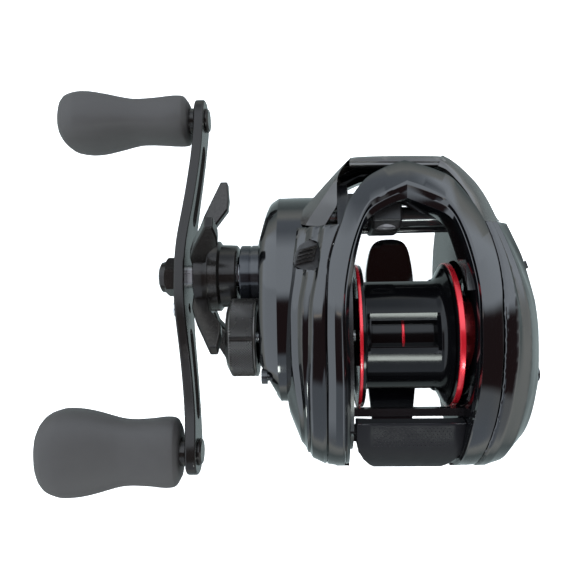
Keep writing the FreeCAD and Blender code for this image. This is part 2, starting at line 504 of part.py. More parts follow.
# ------------------------------------------------------------------ star drag
star = turn([(-50.6, 3.15), (-50.6, 6.0), (-49.6, 9.6), (-47.6, 9.9), (-46.4, 9.4), (-46.4, 3.15)], *D)
ARM = [(-50.2, 7.5), (-50.0, 12.0), (-48.6, 15.8), (-44.4, 24.8), (-42.6, 24.8), (-42.2, 20.0), (-42.5, 17.2),
       (-45.6, 13.0), (-46.5, 9.6), (-46.5, 7.5)]
arms = []
for k in range(5):
    a = math.radians(-8 + 72 * k)
    w1 = Part.makePolygon([V(px, -1.5, pr) for px, pr in ARM] + [V(ARM[0][0], -1.5, ARM[0][1])])
    s = Part.Face(w1).extrude(V(0, 3.0, 0))
    s = fillet(s, 0.5, lambda e: True)
    s.rotate(V(0, 0, 0), V(1, 0, 0), math.degrees(a) - 90)
    s.translate(V(0, DRIVE_Y, DRIVE_Z))
    arms.append(s)
star = star.fuse(arms)
export("star_wheel", one(star.cut(cyl(-60, -30, 3.15, *D))))
hubs = turn([(-46.4, 4.6), (-46.4, 8.9), (-44.2, 8.9), (-43.6, 8.0), (-39.9, 7.8), (-39.5, 7.4), (-39.5, 4.9), (-43.0, 4.9), (-43.0, 4.6)], *D)
export("star_hub", one(hubs))
nut = ring(-46.05, -43.4, 4.5, 3.1, *D)
export("star_nut", nut)

# --------------------------------------------------------------------- handle
def place(s):
    s.rotate(V(0, 0, 0), V(1, 0, 0), -HANDLE_TILT)
    s.translate(V(0, DRIVE_Y, DRIVE_Z))
    return s


def spline_band(pts, thick):
    c1 = Part.BSplineCurve()
    c1.interpolate([V(x, s, -20) for x, s in pts])
    c2 = Part.BSplineCurve()
    c2.interpolate([V(x + thick, s, -20) for x, s in pts])
    e1, e2 = c1.toShape(), c2.toShape()
    a0, a1 = V(pts[0][0], pts[0][1], -20), V(pts[-1][0], pts[-1][1], -20)
    b0, b1 = V(pts[0][0] + thick, pts[0][1], -20), V(pts[-1][0] + thick, pts[-1][1], -20)
    return Part.Face(Part.Wire(Part.__sortEdges__([e1, Part.makeLine(a1, b1), e2, Part.makeLine(b0, a0)]))).extrude(V(0, 0, 40))


half_band = [(-55.0, 0), (-54.75, 8), (-53.9, 16), (-52.7, 26), (-51.8, 36), (-51.5, 43.3), (-51.5, 50)]
band_pts = [(x, -s) for x, s in reversed(half_band[1:])] + half_band
band = spline_band(band_pts, 2.6)
R = HANDLE_R
outl = [(7.0, 0), (6.6, 8), (5.2, 18), (4.6, 28), (4.7, 37), (5.2, R), (3.9, R + 3.9), (0, R + 5.4), (-3.9, R + 3.9), (-5.2, R),
        (-4.7, 37), (-4.6, 28), (-5.2, 18), (-6.6, 8), (-7.0, 0), (-6.6, -8), (-5.2, -18), (-4.6, -28), (-4.7, -37),
        (-5.2, -R), (-3.9, -R - 3.9), (0, -R - 5.4), (3.9, -R - 3.9), (5.2, -R), (4.7, -37), (4.6, -28), (5.2, -18), (6.6, -8)]
outline = prism_x([(s, t) for t, s in outl], -60, -45, smooth=True)
arm = band.common(outline)


def slot(s0, s1, r):
    sl = cyl(-60, -45, r, s0, 0).fuse(cyl(-60, -45, r, s1, 0)).fuse(box(-60, -45, min(s0, s1), max(s0, s1), -r, r))
    return sl


arm = arm.cut(slot(15.5, 33.5, 2.1)).cut(slot(-15.5, -33.5, 2.1))
arm = arm.cut(cyl(-60, -45, 3.05, 0, 0).cut(box(-60, -45, -5, 5, 2.55, 9)).cut(box(-60, -45, -5, 5, -9, -2.55)))
arm = arm.cut(cyl(-60, -45, 1.3, -8.2, 0)).cut(cyl(-60, -45, 2.0, R, 0)).cut(cyl(-60, -45, 2.0, -R, 0))
arm = fillet(arm, 0.5, lambda e: e.Length > 30)
arm = one(arm)
arm_c = place(arm.copy())
# the shaft's flats stand level, so the arm's slot is cut level too
arm_c = one(arm_c.fuse(ring(-55.0, -52.6, 4.0, 0.5, *D)).cut(shaft))
export("handle_arm", arm_c)
hexp = []
for k in range(6):
    a = math.pi / 3 * k + math.radians(HANDLE_TILT)
    hexp.append((DRIVE_Y + 5.0 * math.cos(a), DRIVE_Z + 5.0 * math.sin(a)))
hexn = prism_x(hexp, -58.0, -55.0)
hexn = hexn.common(turn([(-58.0, 0), (-58.0, 4.4), (-57.5, 5.1), (-55.0, 5.1), (-55.0, 0)], *D))
hexn = hexn.cut(shaft).cut(arm_c)
export("handle_nut", one(hexn))
dome = turn([(-59.7, 0), (-59.7, 2.9), (-59.2, 3.8), (-58.0, 4.1), (-58.0, 0)], *D)
export("nut_cap", one(dome))
rs = cyl(-56.0, -54.6, 2.1, 8.2, 0).fuse(cyl(-55.0, -52.9, 1.25, 8.2, 0))
rs = fillet(rs, 0.35, lambda e: abs(e.BoundBox.XMin + 56.0) < 0.01 and e.BoundBox.XLength < 0.01)
rs = rs.cut(box(-57, -55.5, 6.9, 9.5, -0.25, 0.25))
rs.rotate(V(0, 0, 0), V(1, 0, 0), 180)
export("retainer_screw", one(place(rs).cut(arm_c)))
spn = []
for s in (1, -1):
    sp = turn([(-78.0, 0), (-78.0, 2.0), (-53.3, 2.0), (-53.3, 3.4), (-51.85, 3.4), (-51.85, 2.0), (-48.8, 2.0), (-48.8, 3.2),
               (-48.4, 3.2), (-48.0, 2.7), (-48.0, 0)], s * R, 0)
    spn.append(place(sp))
export("knob_spindles", *spn)

# x, half width, half thickness of the knob
KN = [(KNOB_NEAR, 6.4, 4.8), (-54.2, 7.9, 5.8), (-57.5, 8.5, 5.9), (-62.5, 8.2, 5.5), (-67.5, 8.5, 5.3), (-73.0, 10.0, 6.2),
      (-78.0, 10.9, 7.2), (-82.0, 10.8, 7.5), (-85.4, 9.3, 7.0), (-87.4, 6.8, 5.3), (KNOB_FAR, 3.6, 2.9)]


def knob(tilt, y, z):
    ws = []
    for x, a, b in KN:
        pts = []
        for k in range(20):
            t = 2 * math.pi * k / 20
            cs, sn = math.cos(t), math.sin(t)
            e = 2 / 2.5
            u = a * math.copysign(abs(cs) ** e, cs)
            v = b * math.copysign(abs(sn) ** e, sn)
            pts.append(V(x, u, v))
        c = Part.BSplineCurve()
        c.interpolate(pts, True)
        ws.append(Part.Wire([c.toShape()]))
    s = Part.makeLoft(ws, True, False)
    s = s.cut(cyl(-56.0, -50, 3.9, 0, 0)).cut(cyl(-79.5, -50, 2.6, 0, 0)).cut(cyl(-79.5, -74.5, 3.9, 0, 0))
    return s, tilt, y, z


def put(s, tilt, y, z):
    s = s.copy()
    s.rotate(V(0, 0, 0), V(1, 0, 0), tilt)
    s.translate(V(0, y, z))
    return s


ct, st = math.cos(math.radians(HANDLE_TILT)), math.sin(math.radians(HANDLE_TILT))
KF = (DRIVE_Y + R * ct, DRIVE_Z - R * st)
KR = (DRIVE_Y - R * ct, DRIVE_Z + R * st)
kb, _, _, _ = knob(0, 0, 0)
bear = [ring(-56.0, -53.4, 3.9, 2.07, 0, 0), ring(-77.2, -74.5, 3.9, 2.07, 0, 0)]
for nm, (ky, kz), tilt in (("front", KF, 84.0), ("rear", KR, 4.0)):
    plug_hole = cyl(-100, -87.4, 2.6, 0, 0)
    grip_ = kb.cut(plug_hole)
    export("knob_" + nm, one(put(grip_, tilt, ky, kz)))
    export("knob_%s_bearings" % nm, *[put(b, tilt, ky, kz) for b in bear])
    cp = cyl(-88.7, -87.4, 2.6, 0, 0)
    cp = fillet(cp, 0.3, lambda e: abs(e.BoundBox.XMin + 88.7) < 0.01 and e.BoundBox.XLength < 0.01)
    export("knob_%s_plug" % nm, put(cp, tilt, ky, kz))

# ----------------------------------------------------------------- level wind
worm = cyl(-18.6, 14.6, 1.85, *W)
export("worm_shaft", worm)
wg = gear(-18.4, -17.1, WORM_T, W[0], W[1], 1.85, a_dw + math.pi + math.pi / WORM_T)
export("worm_gear", one(wg))
tube = ring(-13.4, 13.4, TUBE_R, 2.05, *W)
tube = tube.cut(box(-11.4, 11.4, W[0] - 0.95, W[0] + 0.95, W[1] - 4, W[1]))
export("worm_tube", one(tube))
bush = [ring(-15.0, -12.6, 2.9, 1.91, *W).cut(cyl(-13.4, -12, 2.5, *W)), ring(12.6, 15.0, 2.9, 1.91, *W).cut(cyl(12, 13.4, 2.5, *W))]
export("worm_bushings", *[one(b) for b in bush])
export("guide_rail", cyl(-14.8, 14.8, RAIL_R, RAIL_Y, RAIL_Z))
gx = GUIDE_X
blk = prism_x([(24.6, 14.6), (31.4, 14.6), (31.8, 22.0), (31.0, 28.0), (26.6, 28.8), (25.0, 26.0), (24.4, 20.0)], gx - 3.5, gx + 3.5)
blk = fillet(blk, 0.7, lambda e: True)
EYE_Z = WORM_Z + TUBE_R + 3.1
blk = blk.cut(cyl(-20, 20, TUBE_R + 0.08, *W)).cut(cyl(-20, 20, RAIL_R + 0.07, RAIL_Y, RAIL_Z))
blk = blk.cut(Part.makeCylinder(2.7, 20, V(gx, 20, EYE_Z), V(0, 1, 0)))
blk = blk.cut(Part.makeCylinder(1.3, 4, V(gx, WORM_Y, 12), V(0, 0, 1))).cut(Part.makeCylinder(0.87, 6, V(gx, WORM_Y, 12), V(0, 0, 1)))
export("line_guide", one(blk))
eye = Part.makeCylinder(2.7, 6.0, V(gx, 25.2, EYE_Z), V(0, 1, 0)).cut(Part.makeCylinder(2.1, 20, V(gx, 20, EYE_Z), V(0, 1, 0)))
eye = fillet(eye, 0.35, lambda e: e.BoundBox.YLength < 0.01 and e.BoundBox.XLength < 4.5)
export("line_guide_ring", one(eye))
pawl = Part.makeCylinder(1.3, 1.4, V(gx, WORM_Y, 14.6), V(0, 0, 1)).fuse(Part.makeCylinder(0.8, WORM_Z - 1.95 - 15.9, V(gx, WORM_Y, 15.9), V(0, 0, 1)))
export("guide_pawl", pawl)

# ---------------------------------------------------------------------- latch
lx0, lx1, ly0, ly1 = LATCH
latch = box(lx0, lx1, ly0, ly1 - 3.2, 30.9, 50).common(body(0.4))
for k in range(3):
    latch = latch.cut(box(lx0 - 1, lx1 + 1, ly0 + 0.8 + 1.25 * k, ly0 + 1.3 + 1.25 * k, 34.4 - 0.55 * k, 50))
export("side_plate_latch", one(latch))
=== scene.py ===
import bpy, bmesh, json, math
from mathutils import Vector, Matrix


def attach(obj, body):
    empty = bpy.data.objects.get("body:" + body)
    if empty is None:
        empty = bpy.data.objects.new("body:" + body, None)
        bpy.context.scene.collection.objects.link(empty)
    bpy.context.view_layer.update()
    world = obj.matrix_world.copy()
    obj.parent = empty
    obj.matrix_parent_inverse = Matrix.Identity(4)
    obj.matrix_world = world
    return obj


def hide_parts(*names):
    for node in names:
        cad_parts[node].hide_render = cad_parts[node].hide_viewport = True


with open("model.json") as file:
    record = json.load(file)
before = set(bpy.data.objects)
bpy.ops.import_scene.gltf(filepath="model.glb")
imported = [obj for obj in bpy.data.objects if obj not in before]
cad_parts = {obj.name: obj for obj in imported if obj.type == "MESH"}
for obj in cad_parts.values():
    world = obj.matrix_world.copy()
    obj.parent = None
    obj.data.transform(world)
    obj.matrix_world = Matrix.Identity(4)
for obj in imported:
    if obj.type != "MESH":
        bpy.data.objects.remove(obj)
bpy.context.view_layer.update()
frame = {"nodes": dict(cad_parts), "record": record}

MM = 0.001
NODES = frame["nodes"]
COL = bpy.context.scene.collection

# ------------------------------------------------------------ camera, light
scene = bpy.context.scene
cam_d = bpy.data.cameras.new("Camera")
cam_d.sensor_width = 36.0
cam_d.lens = 36.0 * 600.0 / 570.0
cam_d.clip_start = 0.01
cam_d.clip_end = 10.0
cam = bpy.data.objects.new("Camera", cam_d)
COL.objects.link(cam)
PSI, PHI, DL = math.radians(-2.0), math.radians(-2.6), math.radians(1.0)
ROT = (Matrix.Rotation(DL, 3, "Z") @ Matrix.Rotation(PHI, 3, "Y") @ Matrix.Rotation(PSI, 3, "X"))
cam.matrix_world = Matrix.Translation(Vector((-20.97, 7.35, 166.44)) * MM) @ ROT.transposed().to_4x4()
scene.camera = cam


def light(name, loc, target, size, power, color=(1, 1, 1), size_y=None):
    d = bpy.data.lights.new(name, "AREA")
    d.shape = "RECTANGLE"
    d.size = size * MM
    d.size_y = (size_y or size) * MM
    d.energy = power
    d.color = color
    o = bpy.data.objects.new(name, d)
    COL.objects.link(o)
    v = (Vector(target) - Vector(loc)) * MM
    o.matrix_world = Matrix.Translation(Vector(loc) * MM) @ v.to_track_quat("-Z", "Y").to_matrix().to_4x4()
    o.visible_glossy = False
    return o


light("key_front", (40, 330, 330), (0, 10, 20), 330, 0.4, (0.94, 0.97, 1.0), 200)
light("key_rear", (-60, -340, 250), (0, -10, 20), 340, 0.85, (0.96, 0.98, 1.0), 220)
light("side_left", (-380, 60, 200), (-30, 10, 20), 260, 0.3, (1.0, 0.98, 0.95))
light("side_right", (360, 20, 240), (20, 0, 20), 260, 0.3, (0.96, 0.98, 1.0))
light("window", (70, 60, 420), (0, -10, 30), 26, 0.12, (1.0, 0.93, 0.82), 60)

world = bpy.data.worlds.new("World")
scene.world = world
world.use_nodes = True
wt = world.node_tree
for n in list(wt.nodes):
    wt.nodes.remove(n)
w_out = wt.nodes.new("ShaderNodeOutputWorld")
w_bg = wt.nodes.new("ShaderNodeBackground")
w_tc = wt.nodes.new("ShaderNodeTexCoord")
w_sep = wt.nodes.new("ShaderNodeSeparateXYZ")


def wmath(op, a, b=None, clamp=False):
    n = wt.nodes.new("ShaderNodeMath")
    n.operation = op
    n.use_clamp = clamp
    for k, v in enumerate((a, b)):
        if v is None:
            continue
        if isinstance(v, (int, float)):
            n.inputs[k].default_value = v
        else:
            wt.links.new(v, n.inputs[k])
    return n.outputs[0]


def edge_in(v, lo, hi):
    return wmath("MULTIPLY", wmath("SUBTRACT", v, lo), 1.0 / (hi - lo), True)


wt.links.new(w_tc.outputs["Generated"], w_sep.inputs[0])
wx, wy, wz = w_sep.outputs
# overhead: a dark ceiling patch, brownish, with soft borders; pale walls beyond it
dark = wmath("MULTIPLY", wmath("MULTIPLY", edge_in(wy, -0.50, -0.43), edge_in(wy, 0.17, 0.11)),
             wmath("MULTIPLY", edge_in(wx, -0.60, -0.44), edge_in(wx, 0.96, 0.88)))
dark = wmath("MULTIPLY", dark, edge_in(wz, 0.26, 0.38))
up = edge_in(wz, 0.05, 0.2)
front = wmath("MULTIPLY", edge_in(wy, 0.11, 0.22), edge_in(wy, 0.9, 0.7))
side = wmath("MULTIPLY", edge_in(wx, -0.5, -0.62), 0.72)
rightf = wmath("MULTIPLY", edge_in(wx, 0.16, 0.30), edge_in(wy, 0.15, 0.3))
front = wmath("MAXIMUM", front, rightf)
right = wmath("MULTIPLY", edge_in(wx, 0.5, 0.75), edge_in(wy, 0.2, 0.1))
lum = wmath("MAXIMUM", front, side)
w0 = wt.nodes.new("ShaderNodeMix")
w0.data_type = "RGBA"
w0.inputs["A"].default_value = (0.44, 0.50, 0.575, 1)
w0.inputs["B"].default_value = (1.2, 1.32, 1.46, 1)
wt.links.new(lum, w0.inputs["Factor"])
w00 = wt.nodes.new("ShaderNodeMix")
w00.data_type = "RGBA"
w00.inputs["B"].default_value = (0.5, 0.53, 0.55, 1)
wt.links.new(right, w00.inputs["Factor"])
wt.links.new(w0.outputs["Result"], w00.inputs["A"])
w1 = wt.nodes.new("ShaderNodeMix")
w1.data_type = "RGBA"
w1.inputs["A"].default_value = (0.72, 0.75, 0.73, 1)
wt.links.new(w00.outputs["Result"], w1.inputs["B"])
wt.links.new(up, w1.inputs["Factor"])
w2 = wt.nodes.new("ShaderNodeMix")
w2.data_type = "RGBA"
w2.inputs["B"].default_value = (0.055, 0.022, 0.018, 1)
wt.links.new(dark, w2.inputs["Factor"])
wt.links.new(w1.outputs["Result"], w2.inputs["A"])
lamp = wmath("MULTIPLY", wmath("MULTIPLY", edge_in(wy, 0.135, 0.145), edge_in(wy, 0.165, 0.155)), wmath("MULTIPLY", edge_in(wx, -0.5, -0.48), edge_in(wx, -0.30, -0.34)))
lamp2 = wmath("MULTIPLY", wmath("MULTIPLY", edge_in(wy, -0.76, -0.74), edge_in(wy, -0.64, -0.66)), wmath("MULTIPLY", edge_in(wx, 0.02, 0.05), edge_in(wx, 0.3, 0.25)))
w3 = wt.nodes.new("ShaderNodeMix")
w3.data_type = "RGBA"
w3.inputs["B"].default_value = (1.6, 1.4, 1.2, 1)
wt.links.new(wmath("MULTIPLY", lamp, edge_in(wz, 0.05, 0.1)), w3.inputs["Factor"])
wt.links.new(w2.outputs["Result"], w3.inputs["A"])
w4 = wt.nodes.new("ShaderNodeMix")
w4.data_type = "RGBA"
w4.inputs["B"].default_value = (11.0, 12.0, 11.4, 1)
wt.links.new(wmath("MULTIPLY", lamp2, edge_in(wz, 0.4, 0.5)), w4.inputs["Factor"])
wt.links.new(w3.outputs["Result"], w4.inputs["A"])
w5 = wt.nodes.new("ShaderNodeMix")
w5.data_type = "RGBA"
w5.inputs["A"].default_value = (0.22, 0.265, 0.27, 1)
wt.links.new(edge_in(wz, -0.3, 0.03), w5.inputs["Factor"])
wt.links.new(w4.outputs["Result"], w5.inputs["B"])
wt.links.new(w5.outputs["Result"], w_bg.inputs[0])
w_bg.inputs[1].default_value = 2.1
wt.links.new(w_bg.outputs[0], w_out.inputs[0])
scene.view_settings.view_transform = "Standard"
scene.view_settings.look = "None"


# ---------------------------------------------------------------- materials
def principled(name):
    m = bpy.data.materials.new(name)
    m.use_nodes = True
    nt = m.node_tree
    for n in list(nt.nodes):
        nt.nodes.remove(n)
    out = nt.nodes.new("ShaderNodeOutputMaterial")
    b = nt.nodes.new("ShaderNodeBsdfPrincipled")
    nt.links.new(b.outputs[0], out.inputs[0])
    return m, nt, b


def finish_mat(name, base, rough, metal=0.0, vary=0.25, scale=900.0, bump=0.05, wear_and_edge_highlight=None, coat=0.0, coat_rough=0.04,
               spec=0.5, rough_vary=0.3, stretch=(1, 1, 1), fleck=None, fine=9000.0, fine_amt=0.0):
    """Painted, anodised or moulded finish: mottled colour, uneven gloss, fine grain, and sharp edges lightened as
    rubbed wear and as a painted edge highlight.
    """
    m, nt, b = principled(name)
    L = nt.links.new
    tc = nt.nodes.new("ShaderNodeTexCoord")
    mp = nt.nodes.new("ShaderNodeMapping")
    mp.inputs["Scale"].default_value = stretch
    L(tc.outputs["Object"], mp.inputs[0])
    n1 = nt.nodes.new("ShaderNodeTexNoise")
    n1.inputs["Scale"].default_value = scale * 0.12
    n1.inputs["Detail"].default_value = 5.0
    L(mp.outputs[0], n1.inputs["Vector"])
    n2 = nt.nodes.new("ShaderNodeTexNoise")
    n2.inputs["Scale"].default_value = scale
    n2.inputs["Detail"].default_value = 3.0
    L(mp.outputs[0], n2.inputs["Vector"])
    mix = nt.nodes.new("ShaderNodeMix")
    mix.data_type = "RGBA"
    mix.inputs["A"].default_value = tuple(c * (1 - vary) for c in base) + (1,)
    mix.inputs["B"].default_value = tuple(min(1.0, c * (1 + vary)) for c in base) + (1,)
    L(n1.outputs[0], mix.inputs["Factor"])
    col = mix.outputs["Result"]
    # sharp edges found by pointiness are lightened: partly rubbed wear, partly a painted edge highlight
    if wear_and_edge_highlight:
        geo = nt.nodes.new("ShaderNodeNewGeometry")
        rp = nt.nodes.new("ShaderNodeValToRGB")
        rp.color_ramp.elements[0].position = 0.53
        rp.color_ramp.elements[1].position = 0.62
        L(geo.outputs["Pointiness"], rp.inputs[0])
        ml = nt.nodes.new("ShaderNodeMath")
        ml.operation = "MULTIPLY"
        L(rp.outputs[0], ml.inputs[0])
        L(n2.outputs[0], ml.inputs[1])
        mw = nt.nodes.new("ShaderNodeMix")
        mw.data_type = "RGBA"
        mw.inputs["B"].default_value = tuple(wear_and_edge_highlight) + (1,)
        L(ml.outputs[0], mw.inputs["Factor"])
        L(col, mw.inputs["A"])
        col = mw.outputs["Result"]
    if fleck:
        vo = nt.nodes.new("ShaderNodeTexVoronoi")
        vo.inputs["Scale"].default_value = 5200.0
        L(tc.outputs["Object"], vo.inputs["Vector"])
        fr = nt.nodes.new("ShaderNodeValToRGB")
        fr.color_ramp.elements[0].position = 0.0
        fr.color_ramp.elements[0].color = (1, 1, 1, 1)
        fr.color_ramp.elements[1].position = 0.16
        fr.color_ramp.elements[1].color = (0, 0, 0, 1)
        L(vo.outputs["Distance"], fr.inputs[0])
        mf = nt.nodes.new("ShaderNodeMix")
        mf.data_type = "RGBA"
        mf.inputs["B"].default_value = tuple(fleck) + (1,)
        L(fr.outputs[0], mf.inputs["Factor"])
        L(col, mf.inputs["A"])
        col = mf.outputs["Result"]
    L(col, b.inputs["Base Color"])
    mr = nt.nodes.new("ShaderNodeMapRange")
    mr.inputs["To Min"].default_value = rough * (1 - rough_vary)
    mr.inputs["To Max"].default_value = min(1.0, rough * (1 + rough_vary))
    L(n1.outputs[0], mr.inputs["Value"])
    L(mr.outputs[0], b.inputs["Roughness"])
    b.inputs["Metallic"].default_value = metal
    b.inputs["Specular IOR Level"].default_value = spec
    b.inputs["Coat Weight"].default_value = coat
    b.inputs["Coat Roughness"].default_value = coat_rough
    if bump:
        bp = nt.nodes.new("ShaderNodeBump")
        bp.inputs["Strength"].default_value = bump
        bp.inputs["Distance"].default_value = 0.0001
        L(n2.outputs[0], bp.inputs["Height"])
        last = bp
        if fine_amt:
            n3 = nt.nodes.new("ShaderNodeTexNoise")
            n3.inputs["Scale"].default_value = fine
            L(tc.outputs["Object"], n3.inputs["Vector"])
            b2 = nt.nodes.new("ShaderNodeBump")
            b2.inputs["Strength"].default_value = fine_amt
            b2.inputs["Distance"].default_value = 0.00005
            L(n3.outputs[0], b2.inputs["Height"])
            L(bp.outputs[0], b2.inputs["Normal"])
            last = b2
        L(last.outputs[0], b.inputs["Normal"])
    return m


# the eighth argument of finish_mat is the sharp-edge colour: rubbed wear and a painted edge highlight
M = {
    "shell": finish_mat("shell_gloss", (0.0016, 0.0017, 0.0021), 0.08, 0.0, 0.2, 700, 0.006, None, 0.0, 0.05, 0.64, rough_vary=0.15),
    "frame_black": finish_mat("frame_black", (0.0045, 0.0045, 0.0052), 0.24, 0.0, 0.2, 800, 0.03, (0.04, 0.04, 0.04), 0.0, 0.08, 0.38),
    "gloss_black": finish_mat("gloss_black", (0.0025, 0.0025, 0.003), 0.10, 0.0, 0.2, 700, 0.015, (0.03, 0.03, 0.034), 0.0, 0.03, 0.5),
    "foot_black": finish_mat("foot_black", (0.0018, 0.002, 0.0028), 0.08, 0.0, 0.15, 700, 0.006, None, 0.0, 0.04, 0.5, rough_vary=0.1),
    "steel": finish_mat("steel", (0.55, 0.55, 0.56), 0.28, 1.0, 0.1, 1200, 0.05, None, stretch=(1, 6, 6)),
    "bearing_steel": finish_mat("bearing_steel", (0.62, 0.62, 0.64), 0.2, 1.0, 0.08, 1200, 0.03),
    "gunmetal": finish_mat("gunmetal", (0.0105, 0.0092, 0.0086), 0.22, 0.5, 0.12, 1500, 0.025, (0.032, 0.029, 0.027), 0.0, 0.2, 0.4, fine_amt=0.04),
    "dark_chrome": finish_mat("dark_chrome", (0.012, 0.0135, 0.017), 0.09, 0.4, 0.15, 600, 0.01, (0.06, 0.06, 0.06), 0.0, 0.04, 0.6),
    "brass": finish_mat("brass", (0.62, 0.43, 0.17), 0.25, 1.0, 0.12, 1100, 0.04, (0.8, 0.62, 0.3)),
    "hood": finish_mat("hood_satin", (0.03, 0.0282, 0.0265), 0.16, 0.0, 0.12, 1200, 0.02, (0.07, 0.066, 0.062), 0.0, 0.06, 0.66),
    "knob": finish_mat("knob_soft", (0.031, 0.0292, 0.0285), 0.6, 0.0, 0.12, 2600, 0.18, None, 0.0, 0.3, 0.35, 0.12, fine=14000, fine_amt=0.25),
    "matte_black": finish_mat("matte_black", (0.006, 0.006, 0.0065), 0.45, 0.0, 0.2, 1500, 0.1, (0.05, 0.05, 0.05), 0.0, 0.2, 0.4),
    "white_plastic": finish_mat("white_plastic", (0.75, 0.74, 0.7), 0.4, 0.0, 0.05, 900, 0.05),
    "carbon": finish_mat("carbon", (0.03, 0.03, 0.033), 0.45, 0.1, 0.3, 3000, 0.2),
    "spool_black": finish_mat("spool_black", (0.0015, 0.0015, 0.0018), 0.12, 0.0, 0.2, 900, 0.02, (0.02, 0.02, 0.022), 0.0, 0.05, 0.2, stretch=(5, 1, 1)),
    "red_anodised": finish_mat("red_anodised", (0.44, 0.009, 0.018), 0.26, 0.55, 0.12, 1500, 0.03, (0.6, 0.08, 0.08), 0.4, 0.08, 0.5),
    "ceramic": finish_mat("ceramic", (0.2, 0.2, 0.21), 0.12, 0.2, 0.1, 900, 0.01, None, 0.5),
    "magnet": finish_mat("magnet", (0.5, 0.5, 0.5), 0.25, 1.0, 0.1, 900, 0.02),
    "knurl": finish_mat("knurl_metal", (0.042, 0.040, 0.038), 0.28, 0.8, 0.15, 1500, 0.02, (0.22, 0.21, 0.19), 0.0, 0.2, 0.6),
    "thumb": finish_mat("thumb_rubber", (0.0042, 0.0038, 0.0048), 0.45, 0.0, 0.15, 2600, 0.1, (0.02, 0.018, 0.02), 0.0, 0.2, 0.14, fine_amt=0.1),
    "washer_grey": finish_mat("washer_grey", (0.09, 0.095, 0.088), 0.4, 0.6, 0.12, 1500, 0.06, (0.2, 0.2, 0.19)),
}
slot_of = {s["node"]: s["material_slot"] for s in frame["record"].get("subparts", [])}


def paint(ob, key):
    ob.data.materials.clear()
    ob.data.materials.append(M[key])


for n, ob in NODES.items():
    key = "gloss_black" if n == "cover_screws" else slot_of.get(n, "frame_black")
    paint(ob, key if key in M else "frame_black")
    for p in ob.data.polygons:
        p.use_smooth = True
    ob.data.set_sharp_from_angle(angle=math.radians(28))

# ------------------------------------------------------------ mesh helpers
def put(name, verts, faces, mat, body, replaces=(), angle=26, bevel=None, seg=2, bang=24):
    me = bpy.data.meshes.new(name)
    me.from_pydata([Vector(v) * MM for v in verts], [], faces)
    me.validate()
    return finish_ob(name, me, mat, body, replaces, angle, bevel, seg, bang)


def finish_ob(name, me, mat, body, replaces=(), angle=26, bevel=None, seg=2, bang=24):
    ob = bpy.data.objects.new(name, me)
    COL.objects.link(ob)
    bm = bmesh.new()
    bm.from_mesh(me)
    bmesh.ops.remove_doubles(bm, verts=bm.verts, dist=2e-6)
    bmesh.ops.dissolve_degenerate(bm, edges=bm.edges, dist=1e-6)
    bmesh.ops.recalc_face_normals(bm, faces=bm.faces)
    bm.to_mesh(me)
    bm.free()
    for p in me.polygons:
        p.use_smooth = True
    if bevel:
        bv = ob.modifiers.new("edge", "BEVEL")
        bv.width = bevel * MM
        bv.segments = seg
        bv.limit_method = "ANGLE"
        bv.angle_limit = math.radians(bang)
        bv.harden_normals = True
    else:
        me.set_sharp_from_angle(angle=math.radians(angle))
    if isinstance(mat, str):
        paint(ob, mat)
    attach(ob, body)
    if replaces:
        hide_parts(*replaces)
    return ob


def rings(rows, wrap=True, caps=True):
    n = len(rows[0])
    verts = [p for r in rows for p in r]
    faces = []
    for i in range(len(rows) - 1):
        for j in range(n if wrap else n - 1):
            k = (j + 1) % n
            faces.append((i * n + j, i * n + k, (i + 1) * n + k, (i + 1) * n + j))
    if caps:
        faces.append(tuple(range(n - 1, -1, -1)))
        faces.append(tuple((len(rows) - 1) * n + j for j in range(n)))
    return verts, faces


def catmull(p0, p1, p2, p3, t):
    return 0.5 * (2 * p1 + (p2 - p0) * t + (2 * p0 - 5 * p1 + 4 * p2 - p3) * t * t + (3 * p1 - p0 - 3 * p2 + p3) * t ** 3)


def smooth_line(pts, n):
    """n points evenly along a smooth curve through pts; the ends are kept."""
    d = []
    for i in range(len(pts) - 1):
        p = [pts[max(0, i - 1)], pts[i], pts[i + 1], pts[min(len(pts) - 1, i + 2)]]
        for k in range(12):
            d.append(tuple(catmull(p[0][c], p[1][c], p[2][c], p[3][c], k / 12) for c in range(len(pts[0]))))
    d.append(tuple(pts[-1]))
    return even(d, n)


def even(d, n):
    L = [0.0]
    for a, b in zip(d, d[1:]):
        L.append(L[-1] + math.dist(a[:2], b[:2]))
    out, j = [], 0
    for i in range(n):
        s = L[-1] * i / (n - 1)
        while j < len(L) - 2 and L[j + 1] < s:
            j += 1
        t = (s - L[j]) / max(1e-9, L[j + 1] - L[j])
        out.append(tuple(d[j][c] + (d[j + 1][c] - d[j][c]) * min(1, max(0, t)) for c in range(len(d[0]))))
    return out


def lerp_at(tab, v, col=1):
    """Piecewise-linear value of a table [(v, a, ...)] sorted by its first column."""
    if v <= tab[0][0]:
        return tab[0][col]
    for a, b in zip(tab, tab[1:]):
        if v <= b[0]:
            return a[col] + (b[col] - a[col]) * (v - a[0]) / max(1e-9, b[0] - a[0])
    return tab[-1][col]


def soft_at(tab, v, col=1):
    """As lerp_at, through a smooth curve."""
    n = len(tab)
    v = min(max(v, tab[0][0]), tab[-1][0])
    for i in range(n - 1):
        if v <= tab[i + 1][0]:
            t = (v - tab[i][0]) / max(1e-9, tab[i + 1][0] - tab[i][0])
            p = [tab[max(0, i - 1)][col], tab[i][col], tab[i + 1][col], tab[min(n - 1, i + 2)][col]]
            return catmull(*p, t)
    return tab[-1][col]


